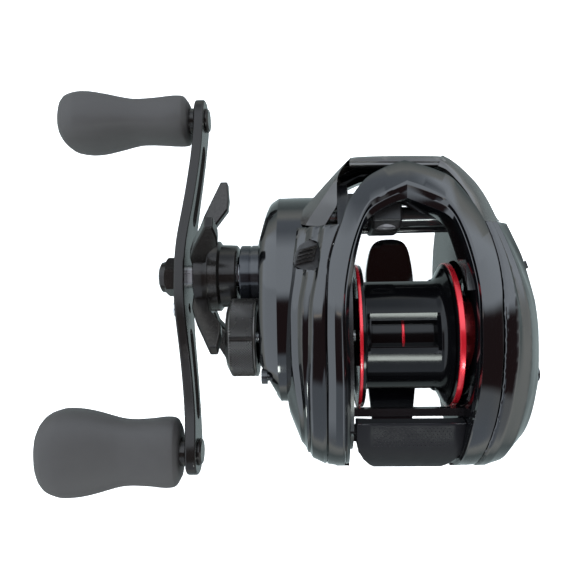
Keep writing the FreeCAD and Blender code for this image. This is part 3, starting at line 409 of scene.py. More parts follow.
# ------------------------------------------------------- outer form of the body
REF = [(-31, 20), (-30.3, 27), (-26, 33.5), (-18, 38), (-8, 40.6), (2, 41), (12, 40.0), (22, 37.5),
       (31, 33.8), (38, 29.6), (42, 25.4), (43, 20.5), (41.2, 14.5), (37, 8.0), (31, 1.8), (23, -2.2),
       (13, -3.8), (3, -4.0), (-7, -3.1), (-16, -0.4), (-24, 5.4), (-29.2, 12.4)]
SECT = [(-27.6, 24.0, 13.0, 33.0, 3.0), (-26.8, 28.5, 17.6, 35.3, 0.5), (-25.0, 31.0, 22.8, 37.0, -1.0),
        (-22.0, 34.5, 27.5, 38.6, -3.6), (-18.0, 38.3, 29.8, 39.8, -4.0), (-14.0, 41.3, 30.0, 40.6, -4.0),
        (-10.5, 43.0, 30.0, 40.9, -4.0), (0.0, 43.0, 30.0, 41.0, -4.0), (10.5, 42.6, 30.0, 40.9, -4.0),
        (14.0, 39.8, 30.0, 40.6, -4.0), (18.0, 36.2, 30.0, 39.8, -4.0), (22.0, 31.2, 28.2, 38.2, -2.4),
        (26.0, 24.5, 24.2, 35.0, -1.0), (29.0, 16.5, 19.5, 30.4, 1.5), (31.0, 9.5, 14.5, 25.6, 4.5),
        (32.0, 4.0, 9.8, 22.6, 9.0)]


def ref_at(t):
    n = len(REF)
    s = (t % 1.0) * n
    i = int(s) % n
    p = [REF[(i + k) % n] for k in (-1, 0, 1, 2)]
    return tuple(catmull(p[0][c], p[1][c], p[2][c], p[3][c], s - int(s)) for c in (0, 1))


def reach(x):
    return tuple(soft_at(SECT, x, c) for c in (1, 2, 3, 4))


def skin_at(x, t):
    y, z = ref_at(t)
    yf, yr, zt, zb = reach(x)
    yy = y * yf / 43.0 if y > 0 else y * yr / 31.0
    zz = 20 + (z - 20) * (zt - 20) / 21.0 if z > 20 else 20 - (20 - z) * (20 - zb) / 24.0
    return yy, zz


UP = sorted([p for p in (ref_at(k / 900.0) for k in range(900)) if p[1] >= 20], key=lambda p: p[0])


def ztop(x, y):
    yf, yr, zt, zb = reach(x)
    yy = y * 43.0 / yf if y > 0 else y * 31.0 / yr
    return 20 + (lerp_at(UP, yy) - 20) * (zt - 20) / 21.0


# ------------------------------------------------------------ horseshoe cover
OUT_L = [(-18.1, -30.2), (-18.1, -27), (-18.1, -17.1), (-18.0, -8.4), (-18.1, 0.8), (-17.8, 10.2), (-17.3, 16.3), (-16.1, 21.0),
         (-14.3, 25.9), (-13.0, 29.5), (-11.3, 32.4), (-9.3, 35.0), (-7.2, 36.9), (-2.8, 39.3), (0.8, 40.6)]
RDG_L = [(-14.6, -30.2), (-14.6, -26.7), (-14.7, -17), (-14.7, -8.3), (-14.8, 0.9), (-14.8, 6.1), (-14.4, 11.5), (-13.3, 17.5),
         (-12.0, 21.9), (-10.5, 25.6), (-8.9, 28.6), (-7.2, 30.5), (-3.7, 32.3), (0.6, 34.5)]
INN_L = [(-13.1, -30.2), (-13.2, -26), (-13.2, -17), (-13.2, -8.5), (-13.3, -2.1), (-13.4, 3.5), (-13.1, 8.8), (-12.5, 12.8),
         (-11.4, 18.1), (-10.1, 22.7), (-8.9, 25.5), (-7.2, 27.4), (-3.7, 29.5), (0.5, 31.0)]
OUT_R = [(15.0, -30.2), (15.4, -26.9), (17.1, -18.9), (18.0, -12.2), (18.5, -4.7), (18.8, 1.6), (18.8, 6.3), (19.1, 10.8),
         (18.9, 16.4), (18.1, 21.5), (16.9, 25.7), (15.0, 29.8), (12.9, 33.2), (10.8, 35.7), (8.6, 37.2), (5.0, 38.9), (0.8, 40.6)]
RDG_R = [(10.9, -30.2), (11.3, -26.7), (12.1, -19.9), (12.6, -16.5), (13.2, -13.1), (13.7, -8.8), (14.0, -2.5), (14.1, 2.0), (14.2, 6.3), (14.1, 10.8),
         (13.4, 16.6), (12.3, 22.1), (10.8, 26.5), (9.1, 29.6), (7.5, 31.0), (4.0, 33.0), (0.6, 34.5)]
INN_R = [(10.2, -30.2), (10.8, -26.7), (11.6, -19.9), (12.2, -15.0), (12.7, -10.0), (13.1, -4.0), (13.3, 0.4), (13.4, 5.8), (13.4, 9.7), (12.8, 14.4),
         (11.6, 20.2), (10.4, 24.6), (9.2, 26.5), (7.5, 27.7), (3.9, 29.4), (0.5, 31.0)]


def horseshoe(out, rdg, inn, n):
    o, r, i_ = smooth_line(out, n), smooth_line(rdg, n), smooth_line(inn, n)
    rows = []
    for k in range(n):
        O, R, I = o[k], r[k], i_[k]
        f = k / (n - 1)
        zo = ztop(*O) + 0.05 + 0.9 * max(0.0, f - 0.82) / 0.18
        zr = ztop(*R) + 0.45
        zi = ztop(*I) - 1.5
        mix = lambda a, b, t: (a[0] + (b[0] - a[0]) * t, a[1] + (b[1] - a[1]) * t)
        m = mix(O, R, 0.5)
        r1 = mix(R, I, 0.16)
        r2 = mix(R, I, 0.42)
        fl = max(24.3, zi - 9.0)
        fo = min(zo - 3.0, max(24.3, zo - 6.0))
        rows.append([(O[0], O[1], fo), (O[0], O[1], zo - 0.32), (*mix(O, R, 0.045), zo + 0.05), (*m, (zo + zr) / 2 + 0.28),
                     (*mix(O, R, 0.93), zr - 0.1), (*R, zr), (*r1, zr - 0.02), (*r2, zr + (zi - zr) * 0.62),
                     (*mix(R, I, 0.55), zr + (zi - zr) * 0.60), (*I, zi), (*mix(R, I, 1.04), zi - 0.5),
                     (*mix(R, I, 1.04), fl), (*mix(O, R, 0.6), fl)])
    return rows


left = horseshoe(OUT_L, RDG_L, INN_L, 84)
right = horseshoe(OUT_R, RDG_R, INN_R, 84)
rows = left[:-1] + [[tuple((a[c] + b[c]) / 2 for c in range(3)) for a, b in zip(left[-1], right[-1])]] + list(reversed(right[:-1]))
v, f = rings(rows)
put("horseshoe_cover", v, f, "shell", "frame", ("top_cover",), bevel=0.14, bang=18)


# ----------------------------------------------------- faceted side shells
def shell_grid(cols, t_n, crease):
    """Open grid of the body's skin: cols is a list of (column, subdivisions); crease(col, y) gives x on the top side,
    its nominal x below, and the height it stands proud."""
    lines = []
    for a, b in zip(cols, cols[1:]):
        for k in range(a[1]):
            lines.append((a[0], b[0], k / a[1]))
    lines.append((cols[-1][0], cols[-1][0], 0.0))
    grid = []
    for ti in range(t_n):
        t = ti / t_n
        row = []
        for a, b, m in lines:
            pt = []
            for c in (a, b):
                x = crease[c]["low"]
                for _ in range(5):
                    y, z = skin_at(x, t)
                    w = min(1.0, max(0.0, (z - 15.0) / 9.0))
                    w = w * w * (3 - 2 * w)
                    x = crease[c]["low"] + (soft_at(crease[c]["line"], y) - crease[c]["low"]) * w
                y, z = skin_at(x, t)
                up = crease[c]["up"]
                d = (lerp_at(up, y) if isinstance(up, list) else up) * (0.25 + 0.75 * w)
                rr = math.hypot(y - 4, z - 18)
                pt.append((x, y + d * (y - 4) / rr, z + d * (z - 18) / rr))
            row.append(tuple(pt[0][c] + (pt[1][c] - pt[0][c]) * m for c in range(3)))
        grid.append(row)
    return grid


def cut_planes(bm, planes):
    for co, no in planes:
        bmesh.ops.bisect_plane(bm, geom=bm.verts[:] + bm.edges[:] + bm.faces[:], dist=1e-7,
                               plane_co=Vector(co) * MM, plane_no=Vector(no))


def drop(bm, test):
    bad = [f for f in bm.faces if test(*(f.calc_center_median() / MM))]
    bmesh.ops.delete(bm, geom=bad, context="FACES")
    loose = [q for q in bm.verts if not q.link_faces]
    bmesh.ops.delete(bm, geom=loose, context="VERTS")


def cut_hole(bm, poly, zmin):
    """Trims the skin along an outline seen from above and takes out what is inside it."""
    x0, x1 = min(p[0] for p in poly) - 1.5, max(p[0] for p in poly) + 1.5
    y0, y1 = min(p[1] for p in poly) - 1.5, max(p[1] for p in poly) + 1.5
    n = len(poly)
    for k in range(n):
        (ax, ay), (bx, by) = poly[k], poly[(k + 1) % n]
        near = [f for f in bm.faces if (lambda c: x0 < c[0] < x1 and y0 < c[1] < y1 and c[2] > zmin)(f.calc_center_median() / MM)]
        es = list({e for f in near for e in f.edges})
        vs = list({q for f in near for q in f.verts})
        bmesh.ops.bisect_plane(bm, geom=vs + es + near, dist=1e-7, plane_co=Vector((ax, ay, 0)) * MM, plane_no=Vector((by - ay, ax - bx, 0)).normalized())

    def inside(x, y):
        return all((bx - ax) * (y - ay) - (by - ay) * (x - ax) > 0 for (ax, ay), (bx, by) in zip(poly, poly[1:] + poly[:1]))

    drop(bm, lambda x, y, z: z > zmin and inside(x, y))


def cut_round(bm, centre, ax, r, depth, n=32):
    """Sinks a round flat-bottomed pocket into the skin along an axis."""
    ax = Vector(ax).normalized()
    sd = ax.cross(Vector((0, 0, 1))).normalized()
    up = sd.cross(ax).normalized()
    centre = Vector(centre)

    def along(p):
        return (p / MM - centre).dot(ax)

    def away(p):
        q = p / MM - centre
        return (q - ax * q.dot(ax)).length

    for k in range(n):
        a = 2 * math.pi * k / n
        d = up * math.cos(a) + sd * math.sin(a)
        near = [f for f in bm.faces if away(f.calc_center_median()) < r * 1.7 and along(f.calc_center_median()) > -4]
        es = list({e for f in near for e in f.edges})
        vs = list({q for f in near for q in f.verts})
        bmesh.ops.bisect_plane(bm, geom=vs + es + near, dist=1e-7, plane_co=(centre + d * r) * MM, plane_no=d)
    gone = [f for f in bm.faces if along(f.calc_center_median()) > -4
            and all((f.calc_center_median() / MM - centre).dot(up * math.cos(2 * math.pi * k / n) + sd * math.sin(2 * math.pi * k / n)) < r for k in range(n))]
    bmesh.ops.delete(bm, geom=gone, context="FACES")
    loop = [e for e in bm.edges if e.is_boundary and all(away(q.co) < r * 1.03 and along(q.co) > -4 for q in e.verts)]
    ext = bmesh.ops.extrude_edge_only(bm, edges=loop)["geom"]
    for q in [g for g in ext if isinstance(g, bmesh.types.BMVert)]:
        q.co = q.co + ax * (depth - along(q.co)) * MM
    rim = [g for g in ext if isinstance(g, bmesh.types.BMEdge)]
    bmesh.ops.edgeloop_fill(bm, edges=rim)
    bmesh.ops.recalc_face_normals(bm, faces=bm.faces)


def shell_piece(name, grid, planes, test, thick, body, replaces, cap_end=None, bevel=0.12, holes=(), sink=None):
    n, m = len(grid), len(grid[0])
    verts = [p for r in grid for p in r]
    faces = []
    for i in range(n):
        k = (i + 1) % n
        for j in range(m - 1):
            faces.append((i * m + j, i * m + j + 1, k * m + j + 1, k * m + j))
    if cap_end is not None:
        faces.append(tuple(i * m + cap_end for i in range(n)))
    me = bpy.data.meshes.new(name)
    me.from_pydata([Vector(p) * MM for p in verts], [], faces)
    bm = bmesh.new()
    bm.from_mesh(me)
    bmesh.ops.recalc_face_normals(bm, faces=bm.faces)
    cut_planes(bm, planes)
    drop(bm, test)
    for poly, zmin in holes:
        cut_hole(bm, poly, zmin)
    if sink:
        cut_round(bm, *sink)
    c = sum((f.calc_center_median() for f in bm.faces), Vector()) / max(1, len(bm.faces))
    out = sum((f.calc_center_median() - Vector((0, 4, 18)) * MM).dot(f.normal) * f.calc_area() for f in bm.faces)
    if out < 0:
        bmesh.ops.reverse_faces(bm, faces=bm.faces)
    bm.to_mesh(me)
    bm.free()
    ob = bpy.data.objects.new(name, me)
    COL.objects.link(ob)
    so = ob.modifiers.new("wall", "SOLIDIFY")
    so.thickness = thick * MM
    so.offset = -1.0
    so.use_even_offset = True
    so.use_quality_normals = True
    bv = ob.modifiers.new("edge", "BEVEL")
    bv.width = bevel * MM
    bv.segments = 2
    bv.limit_method = "ANGLE"
    bv.angle_limit = math.radians(15)
    bv.harden_normals = True
    dg = bpy.context.evaluated_depsgraph_get()
    out_me = bpy.data.meshes.new_from_object(ob.evaluated_get(dg))
    bpy.data.objects.remove(ob)
    for p in out_me.polygons:
        p.use_smooth = True
    return out_me


def place_piece(name, me, mat, body, replaces):
    me.name = name
    ob = bpy.data.objects.new(name, me)
    COL.objects.link(ob)
    paint(ob, mat)
    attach(ob, body)
    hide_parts(*replaces)
    return ob


CREASE_L = {
    0: {"low": -15.2, "up": -0.25, "line": [(-31, -18.25), (-8.4, -18.15), (0.8, -18.25), (10.2, -17.95), (16.3, -17.45), (21, -16.25),
                                           (25.9, -14.45), (29.5, -13.1), (33, -11.0), (37, -8.0)]},
    1: {"low": -17.0, "up": 0.12, "line": [(-31, -18.7), (-8.4, -18.6), (0.8, -18.7), (10.2, -18.4), (16.3, -17.9), (21, -16.7), (25.9, -14.9), (29.5, -13.5), (37, -8.4)]},
    2: {"low": -20.5, "up": 0.42, "line": [(-31, -21.5), (-17.4, -21.7), (-10.0, -21.8), (-5.7, -21.6), (0.9, -21.2), (7.6, -20.9), (14.4, -19.6), (20, -18.7), (26, -17.6), (32, -15.2), (37, -12.5)]},
    3: {"low": -21.8, "up": -0.22, "line": [(-31, -22.0), (-17.4, -22.2), (-10.0, -22.3), (-5.7, -22.2), (0.9, -22.0), (7.6, -21.7), (14.4, -20.5), (20, -19.9), (26, -18.8), (32, -16.2), (37, -13.5)]},
    4: {"low": -23.0, "up": 0.38, "line": [(-31, -22.5), (-17, -22.7), (-10, -23.0), (-5, -23.3), (0.9, -23.3), (7.6, -23.0), (14.4, -21.7), (20, -21.2), (26, -20.2), (32, -17.4), (37, -14.6)]},
    5: {"low": -24.2, "up": -0.2, "line": [(-31, -23.0), (-17, -23.3), (-10, -23.8), (-5, -24.2), (0.9, -24.3), (7.6, -24.1), (14.4, -23.0), (20, -22.6), (26, -21.6), (32, -18.6), (37, -15.7)]},
    6: {"low": -25.6, "up": 0.25, "line": [(-31, -23.8), (-17, -24.3), (-10, -25.1), (-5, -25.6), (0.9, -25.7), (7.6, -25.6), (14.4, -24.6), (20, -24.3), (26, -23.4), (32, -20.0), (37, -17.0)]},
    7: {"low": -27.2, "up": 0.0, "line": [(-31, -26.0), (-17, -26.6), (-10, -27.2), (0, -27.4), (10, -27.3), (20, -26.6), (26, -25.6), (32, -22.6), (37, -19.0)]},
}
grid_l = shell_grid([(0, 1), (1, 5), (2, 2), (3, 3), (4, 2), (5, 3), (6, 3), (7, 1)], 260, CREASE_L)

CREASE_R = {
    0: {"low": 15.2, "up": -0.25, "line": [(-31, 15.2), (-26.9, 15.6), (-18.9, 17.3), (-12.2, 18.2), (-4.7, 18.7), (1.6, 19.0), (6.3, 19.0), (10.8, 19.3),
                                          (16.4, 19.1), (21.5, 18.3), (25.7, 17.1), (29.8, 15.2), (33.2, 13.1), (37, 9)]},
    1: {"low": 17.0, "up": 0.12, "line": [(-31, 15.7), (-26.9, 16.1), (-18.9, 17.8), (-12.2, 18.7), (-4.7, 19.2), (1.6, 19.5), (6.3, 19.5), (10.8, 19.8),
                                         (16.4, 19.6), (21.5, 18.8), (25.7, 17.6), (29.8, 15.7), (33.2, 13.6), (37, 9.5)]},
    2: {"low": 21.0, "up": [(-31, 0.1), (-10, 0.15), (8, 0.4), (30, 0.4)], "line": [(-31, 17.5), (-20, 19.6), (-12, 20.9), (-4.7, 21.8), (1.6, 22.1), (6.3, 22.1), (10.8, 21.7), (16.4, 20.9), (21.5, 19.7), (25.7, 18.3), (30, 16.4), (37, 10.5)]},
    3: {"low": 22.2, "up": [(-31, 0.0), (-10, -0.05), (8, -0.25), (30, -0.25)], "line": [(-31, 18.3), (-20, 20.6), (-12, 22.0), (-4.7, 23.0), (1.6, 23.3), (6.3, 23.1), (10.8, 22.5), (16.4, 21.6), (21.5, 20.3), (25.7, 18.9), (30, 17.0), (37, 11.2)]},
    4: {"low": 24.0, "up": 0.3, "line": [(-31, 20.5), (-20, 23.3), (-12, 24.8), (-4.7, 25.6), (1.6, 25.7), (6.3, 25.4), (10.8, 24.4), (16.4, 22.9), (21.5, 21.3), (25.7, 19.8), (30, 18.0), (37, 12.2)]},
    5: {"low": 25.2, "up": -0.1, "line": [(-31, 21.6), (-20, 24.5), (-12, 26.2), (-4.7, 27.1), (1.6, 27.2), (6.3, 26.8), (10.8, 25.8), (16.4, 24.2), (21.5, 22.4), (25.7, 20.9), (30, 19.1), (37, 13.3)]},
    6: {"low": 28.0, "up": 0.15, "line": [(-31, 24.0), (-20, 27.0), (-12, 28.8), (-4.7, 29.6), (1.6, 29.6), (6.3, 29.2), (10.8, 28.2), (16.4, 26.6), (21.5, 24.6), (25.7, 23.0), (30, 21.2), (37, 15.5)]},
    7: {"low": 30.6, "up": 0.0, "line": [(-31, 27.0), (-20, 29.5), (-12, 30.9), (0, 31.3), (10, 30.7), (16.4, 29.6), (21.5, 28.0), (25.7, 26.6), (30, 24.6), (37, 19.0)]},
    8: {"low": 31.9, "up": 0.0, "line": [(-31, 30.0), (-20, 31.4), (0, 31.95), (10, 31.9), (21.5, 30.5), (30, 28.0), (37, 23.0)]},
}
grid_r = shell_grid([(0, 1), (1, 4), (2, 2), (3, 4), (4, 2), (5, 4), (6, 4), (7, 3), (8, 1)], 260, CREASE_R)

HEAR = "frame"


POCKET = [(-24.9, 16.2), (-24.2, 15.4), (-20.6, 14.9), (-19.7, 15.6), (-19.3, 19.6), (-19.8, 21.4), (-21.4, 22.0), (-23.6, 20.7), (-24.8, 18.6)]
me_l = shell_piece("gear_cover_skin", grid_l, [((0, 25.0, 0), (0, 1, 0)), ((0, 0, 12.8), (0, 0, 1))],
                   lambda x, y, z: y > 25.0 and z > 12.8, 1.3, HEAR, ("gear_side_cover",), cap_end=len(grid_l[0]) - 1,
                   holes=[(POCKET, 30.0)])
gear_cover = place_piece("gear_cover_skin", me_l, "shell", "frame", ())
me_r = shell_piece("palm_cover_skin", grid_r, [((0, 25.3, 0), (0, 1, 0)), ((0, 0, 12.8), (0, 0, 1))],
                   lambda x, y, z: y > 25.3 and z > 12.8, 1.3, HEAR, ("palm_side_cover",), cap_end=len(grid_r[0]) - 1,
                   sink=((26.6, 15.4, 20.0), (math.cos(math.radians(17)), math.sin(math.radians(17)), 0), 7.9, -3.2))
palm_cover = place_piece("palm_cover_skin", me_r, "shell", "frame", ("palm_side_cover",))
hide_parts("gear_side_cover")

# latch pocket floor and walls, and the ribbed latch in it
put("latch_pocket_floor", [(x * 1.0, y, 33.9) for x, y in POCKET] + [(x, y, 33.3) for x, y in POCKET],
    [tuple(range(9)), tuple(range(17, 8, -1))] + [(k, 9 + k, 9 + (k + 1) % 9, (k + 1) % 9) for k in range(9)], "matte_black", "frame", ())
ribs = [(-1.55, 0), (-1.5, 0.55), (-1.1, 0.62), (-0.95, 0.3), (-0.75, 0.3), (-0.6, 0.66), (-0.2, 0.7), (-0.05, 0.36), (0.15, 0.36), (0.3, 0.72), (0.7, 0.74), (0.85, 0.4), (1.05, 0.4), (1.2, 0.9), (1.7, 1.0), (1.95, 0.4), (1.95, 0)]
lrows = []
for k in range(13):
    u = -1 + k / 6
    lrows.append([(-22.2 + 2.05 * u + 0.28 * v, 18.3 + v + 0.5 * u, 34.4 + 1.15 * h * (1 - 0.25 * u * u) + 0.32 * u) for v, h in ribs])
lv, lf = rings(lrows)
put("latch_ribbed", lv, lf, "gunmetal", "latch", ("side_plate_latch",), bevel=0.08, bang=20)

# ------------------------------------------------------------- gearbox bulge
BULGE = [(34.4, 13), (33.4, 20.5), (29.3, 27), (22, 31.8), (12, 34.4), (0, 34.6), (-9, 32.2), (-14, 27.2),
         (-15.3, 21), (-13.6, 13.5), (-8, 6.5), (0, 0.6), (8, -2.6), (16, -3.6), (25, -2), (31.2, 4.4)]


def bulge_loop(n):
    out = []
    m = len(BULGE)
    for k in range(n):
        s = k * m / n
        i = int(s)
        p = [BULGE[(i + q) % m] for q in (-1, 0, 1, 2)]
        out.append(tuple(catmull(p[0][c], p[1][c], p[2][c], p[3][c], s - i) for c in (0, 1)))
    return out


BL = bulge_loop(160)
rows = []
for x, k in ((-17.2, 0.0), (-24.0, 0.0), (-28.2, 0.05), (-28.9, 0.0), (-31.2, 0.9), (-32.2, 1.5), (-32.9, 2.3), (-33.3, 3.5)):
    r = []
    for y, z in BL:
        back = min(1.0, max(0.0, (-7.6 - y) / 6.5))
        frnt = min(1.0, max(0.0, (y - 24.0) / 9.0))
        out = max(0.0, (-28.5 - x) / 4.8)
        xx = x + out * (3.2 * back + 1.6 * frnt)
        r.append((xx, 9.2 + (y - 9.2) * (1 - k / 24.5), 15.5 + (z - 15.5) * (1 - k / 19.0)))
    rows.append(r)
v, f = rings(rows)
bulge = put("gearbox_bulge", v, f, "shell", "frame", (), bevel=0.16, bang=20)


# ------------------------------------------------------------------- hood
def loft_pts(name, rows, mat, body, replaces=(), bevel=0.15, bang=18, wrap=True, caps=True):
    v, f = rings(rows, wrap, caps)
    return put(name, v, f, mat, body, replaces, bevel=bevel, bang=bang)


def mirror_rows(rows):
    return [[(-x, y, z) for x, y, z in reversed(r)] for r in rows]


# nose bar, tip to tip in front of the horseshoe: x, front edge y, crease y, rear edge y
BAR = [(-11.85, 41.61, 40.52, 39.63),
       (-11.26, 42.02, 40.51, 39.62),
       (-9.74, 42.19, 40.46, 39.58),
       (-5.55, 42.24, 40.35, 39.47),
       (0.02, 42.18, 40.20, 39.32),
       (5.80, 42.02, 40.05, 39.17),
       (8.79, 41.89, 39.97, 39.09),
       (9.83, 41.72, 39.94, 39.06),
       (10.39, 41.26, 39.93, 39.04)]
rows = []
for k in range(61):
    x = -11.85 + 22.24 * k / 60
    yf, yc, yb = [soft_at(BAR, x, c) for c in range(1, 4)]
    rows.append([(x, yf - 0.5, 20.2), (x, yf - 0.05, 22.6), (x, yf, 25.6), (x, yf - 0.3, 26.4), (x, (yf + yc) / 2, 27.25), (x, yc + 0.12, 27.7), (x, yc - 0.1, 27.45),
                 (x, yb + 0.2, 27.6), (x, yb, 27.3), (x, yb + 0.1, 25.0), (x, yb + 0.6, 21.0)])
bar = loft_pts("hood_nose_bar", rows, "hood", "frame", (), bevel=0.1, bang=20)

# lower lip: the darker member behind and below the nose bar
rows = []
for k in range(49):
    x = -15.2 + 29.0 * k / 48
    yf = 40.6 - max(0.0, abs(x + 0.7) - 8.0) * 0.5
    yb = 37.5 - max(0.0, abs(x + 0.7) - 8.0) * 0.42
    rows.append([(x, yf, 24.6), (x, yf + 0.3, 20.5), (x, yf, 15.4), (x, yf - 1.0, 14.4), (x, yb, 14.8), (x, yb - 0.1, 19.6), (x, yb + 0.4, 20.6), (x, yb + 1.6, 21.0),
                 (x, yb + 2.2, 23.2)])
lip = loft_pts("hood_lower_lip", rows, "gloss_black", "frame", (), bevel=0.2, bang=20)

# wings: from the tips of the nose bar back to the seam with the side covers; outer edge, crease, inner edge
WING_L = [
    ((-11.2, 42.19, 25.5), (-12.4, 40.79, 27.5), (-13.13, 39.57, 27.8)),
    ((-13.0, 40.56, 25.6), (-13.73, 38.84, 28), (-14.22, 38.29, 28.4)),
    ((-15.16, 38.31, 25.8), (-15.19, 36.42, 28.6), (-14.88, 35.82, 29.2)),
    ((-17.56, 35.73, 26), (-16.99, 33.64, 29.4), (-15.02, 32.86, 30.2)),
    ((-20.2, 32.8, 26.2), (-19.11, 30.44, 30.2), (-15.18, 29.95, 31.2)),
    ((-22.59, 30.11, 26.4), (-20.75, 27.95, 31), (-16.5, 27.56, 32.2)),
    ((-24.26, 28.0, 26.6), (-21.91, 26.07, 31.8), (-18.02, 25.09, 33.2)),
]
WING_R = [
    ((9.91, 42.09, 25.5), (8.92, 40.37, 27.8), (8.35, 38.9, 28.2)),
    ((11.72, 41.07, 25.6), (10.6, 39.05, 28.3), (10.23, 37.79, 28.8)),
    ((13.93, 39.2, 25.8), (12.56, 37.02, 28.9), (11.8, 35.74, 29.6)),
    ((16.12, 36.87, 26), (14.43, 34.28, 29.7), (13.29, 33.45, 30.6)),
    ((17.84, 34.68, 26.2), (15.83, 32.05, 30.5), (14.52, 30.98, 31.6)),
    ((19.76, 31.44, 26.4), (16.97, 29.17, 31.3), (15.71, 28.1, 32.6)),
    ((21.85, 26.84, 26.6), (18.18, 25.33, 32.1), (16.97, 24.6, 33.6)),
]


def wing(rows3, n=34):
    a = smooth_line([r[0] for r in rows3], n)
    m = smooth_line([r[1] for r in rows3], n)
    c = smooth_line([r[2] for r in rows3], n)
    sg = -1 if rows3[0][0][0] < 0 else 1
    rows = []

    def mid(p, q, t, h=0.0):
        return (p[0] + (q[0] - p[0]) * t, p[1] + (q[1] - p[1]) * t, p[2] + (q[2] - p[2]) * t + h)

    for k in range(n):
        A, Mi, C = a[k], m[k], c[k]
        rows.append([(A[0] - sg * 0.4, A[1] - 0.3, A[2] - 8.0), (A[0] - sg * 0.05, A[1], A[2] - 3.5), (A[0] + sg * 0.02, A[1], A[2] - 0.4), A,
                     mid(A, Mi, 0.3, 0.12), mid(A, Mi, 0.7, 0.14), Mi, mid(Mi, C, 0.5, 0.1), C,
                     (C[0] - sg * 0.05, C[1], C[2] - 0.5), (C[0], C[1], C[2] - 2.6), mid(A, C, 0.6, -3.4), (A[0] - sg * 2.0, A[1] - 1.2, A[2] - 5.5), (A[0] - sg * 1.9, A[1] - 1.3, A[2] - 8.0)])
    return rows


wl = loft_pts("hood_wing_gear_side", wing(WING_L + [((-24.6, 26.6, 26.8), (-22.2, 25.4, 32.0), (-18.3, 24.8, 33.4))]), "hood", "frame", (), bevel=0.1, bang=20)
wr = loft_pts("hood_wing_palm_side", wing(WING_R + [((22.6, 26.2, 26.4), (18.9, 25.4, 32.2), (17.5, 24.6, 33.6))]), "hood", "frame", (), bevel=0.1, bang=20)
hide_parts("front_hood")

# ------------------------------------------------------------------- spool
S_Y, S_Z = 0.0, 22.0
WIN_A = math.radians(4.6)


def turned(name, prof, mat, body, y, z, n=128, bevel=0.1, bang=20, replaces=(), closed=True, radial=None):
    """Solid of revolution about X through (y, z); prof is a closed list of (x, r)."""
    rows = []
    for k in range(n):
        a = 2 * math.pi * k / n
        rr = radial(a) if radial else 0.0
        rows.append([(x, y + (r + (rr if r > 1 else 0)) * math.sin(a), z + (r + (rr if r > 1 else 0)) * math.cos(a)) for x, r in prof])
    m = len(prof)
    verts = [p for r in rows for p in r]
    faces = []
    for i in range(n):
        j = (i + 1) % n
        for c in range(m if closed else m - 1):
            d = (c + 1) % m
            faces.append((i * m + c, i * m + d, j * m + d, j * m + c))
    return put(name, verts, faces, mat, body, replaces, bevel=bevel, bang=bang)


def spool_mesh():
    """Outer barrel as a grid over angle and length, with four framed windows let into it."""
    half_o, half_i = math.radians(19.8), math.radians(12.6)
    xs_o, xs_i = (-9.1, 6.9), (-8.0, 6.1)
    xl = sorted(set([-9.9, -9.5, xs_o[0], xs_o[0] + 0.7, xs_i[0] - 0.15, xs_i[0] + 0.25, -6.4, -4.8, -3.2, -1.6, 0, 1.6, 3.2, 4.8, xs_i[1] - 0.25, xs_i[1] + 0.15,
                     xs_o[1] - 0.7, xs_o[1], 7.3, 7.8, 8.3, 8.7, 9.2]))
    al = []
    for k in range(4):
        c = WIN_A + k * math.pi / 2
        eps = math.radians(1.1)
        loc = [-half_o, -half_o + 2 * eps, -half_o + 4 * eps, -half_i - eps, -half_i, -half_i + eps, -half_i * 0.6, -half_i * 0.3, 0, half_i * 0.3, half_i * 0.6,
               half_i - eps, half_i, half_i + eps, half_o - 4 * eps, half_o - 2 * eps, half_o]
        al += [c + q for q in loc]
        g0, g1 = c + half_o, c + math.pi / 2 - half_o
        al += [g0 + (g1 - g0) * q / 14 for q in range(1, 14)]
    rows = []
    for a in al:
        row = []
        rel = (a - WIN_A + math.pi / 4) % (math.pi / 2) - math.pi / 4
        for x in xl:
            r = 13.1
            if x > 6.9:
                r = 13.1 + (x - 6.9) ** 2 * 0.5
            if x < -9.2:
                r = 13.3
            if abs(rel) < half_o - 1e-4 and xs_o[0] + 1e-4 < x < xs_o[1] - 1e-4:
                e1 = (half_o - abs(rel)) * 13.0 / 1.0
                e2 = min(x - xs_o[0], xs_o[1] - x) / 0.7
                r = 13.1 - 1.0 * min(1.0, max(0.0, min(e1, e2)))
            if abs(rel) < half_i + 1e-4 and xs_i[0] - 1e-4 <= x <= xs_i[1] + 1e-4:
                r = 9.6
            row.append((x, S_Y + r * math.sin(a), S_Z + r * math.cos(a)))
        rows.append(row)
    m = len(xl)
    verts = [p for r in rows for p in r]
    n = len(rows)
    faces = []
    for i in range(n):
        j = (i + 1) % n
        for c in range(m - 1):
            faces.append((i * m + c, i * m + c + 1, j * m + c + 1, j * m + c))
    return verts, faces


v, f = spool_mesh()
sp = put("spool_barrel", v, f, "spool_black", "spool", (), bevel=0.12, bang=25)
fl_l = turned("spool_flange_gear_side", [(-9.3, 13.0), (-9.6, 13.6), (-9.7, 15.4), (-9.5, 16.2), (-9.75, 16.75), (-10.9, 16.75), (-11.0, 16.5), (-11.0, 14.0), (-10.4, 12.6), (-10.2, 5.0), (-11.0, 3.2), (-11.0, 1.4), (-9.0, 1.4), (-9.0, 12.6)],
              "spool_black", "spool", S_Y, S_Z, replaces=(), bevel=0.1)
fl_r = turned("spool_flange_palm_side", [(9.0, 12.6), (9.0, 13.9), (9.2, 14.8), (9.55, 15.8), (9.8, 16.7), (10.9, 16.75), (11.0, 16.5), (11.0, 14.0), (10.4, 12.6), (10.0, 6.0), (10.0, 2.8), (9.2, 2.8), (9.0, 6.0)],
              "spool_black", "spool", S_Y, S_Z, bevel=0.1)
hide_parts("spool")
core = turned("spool_core_stripe", [(-1.25, 9.0), (-1.25, 9.75), (-1.1, 9.85), (-0.75, 9.85), (-0.6, 9.75), (-0.6, 9.0)], "red_anodised", "spool", S_Y, S_Z, bevel=0.05)
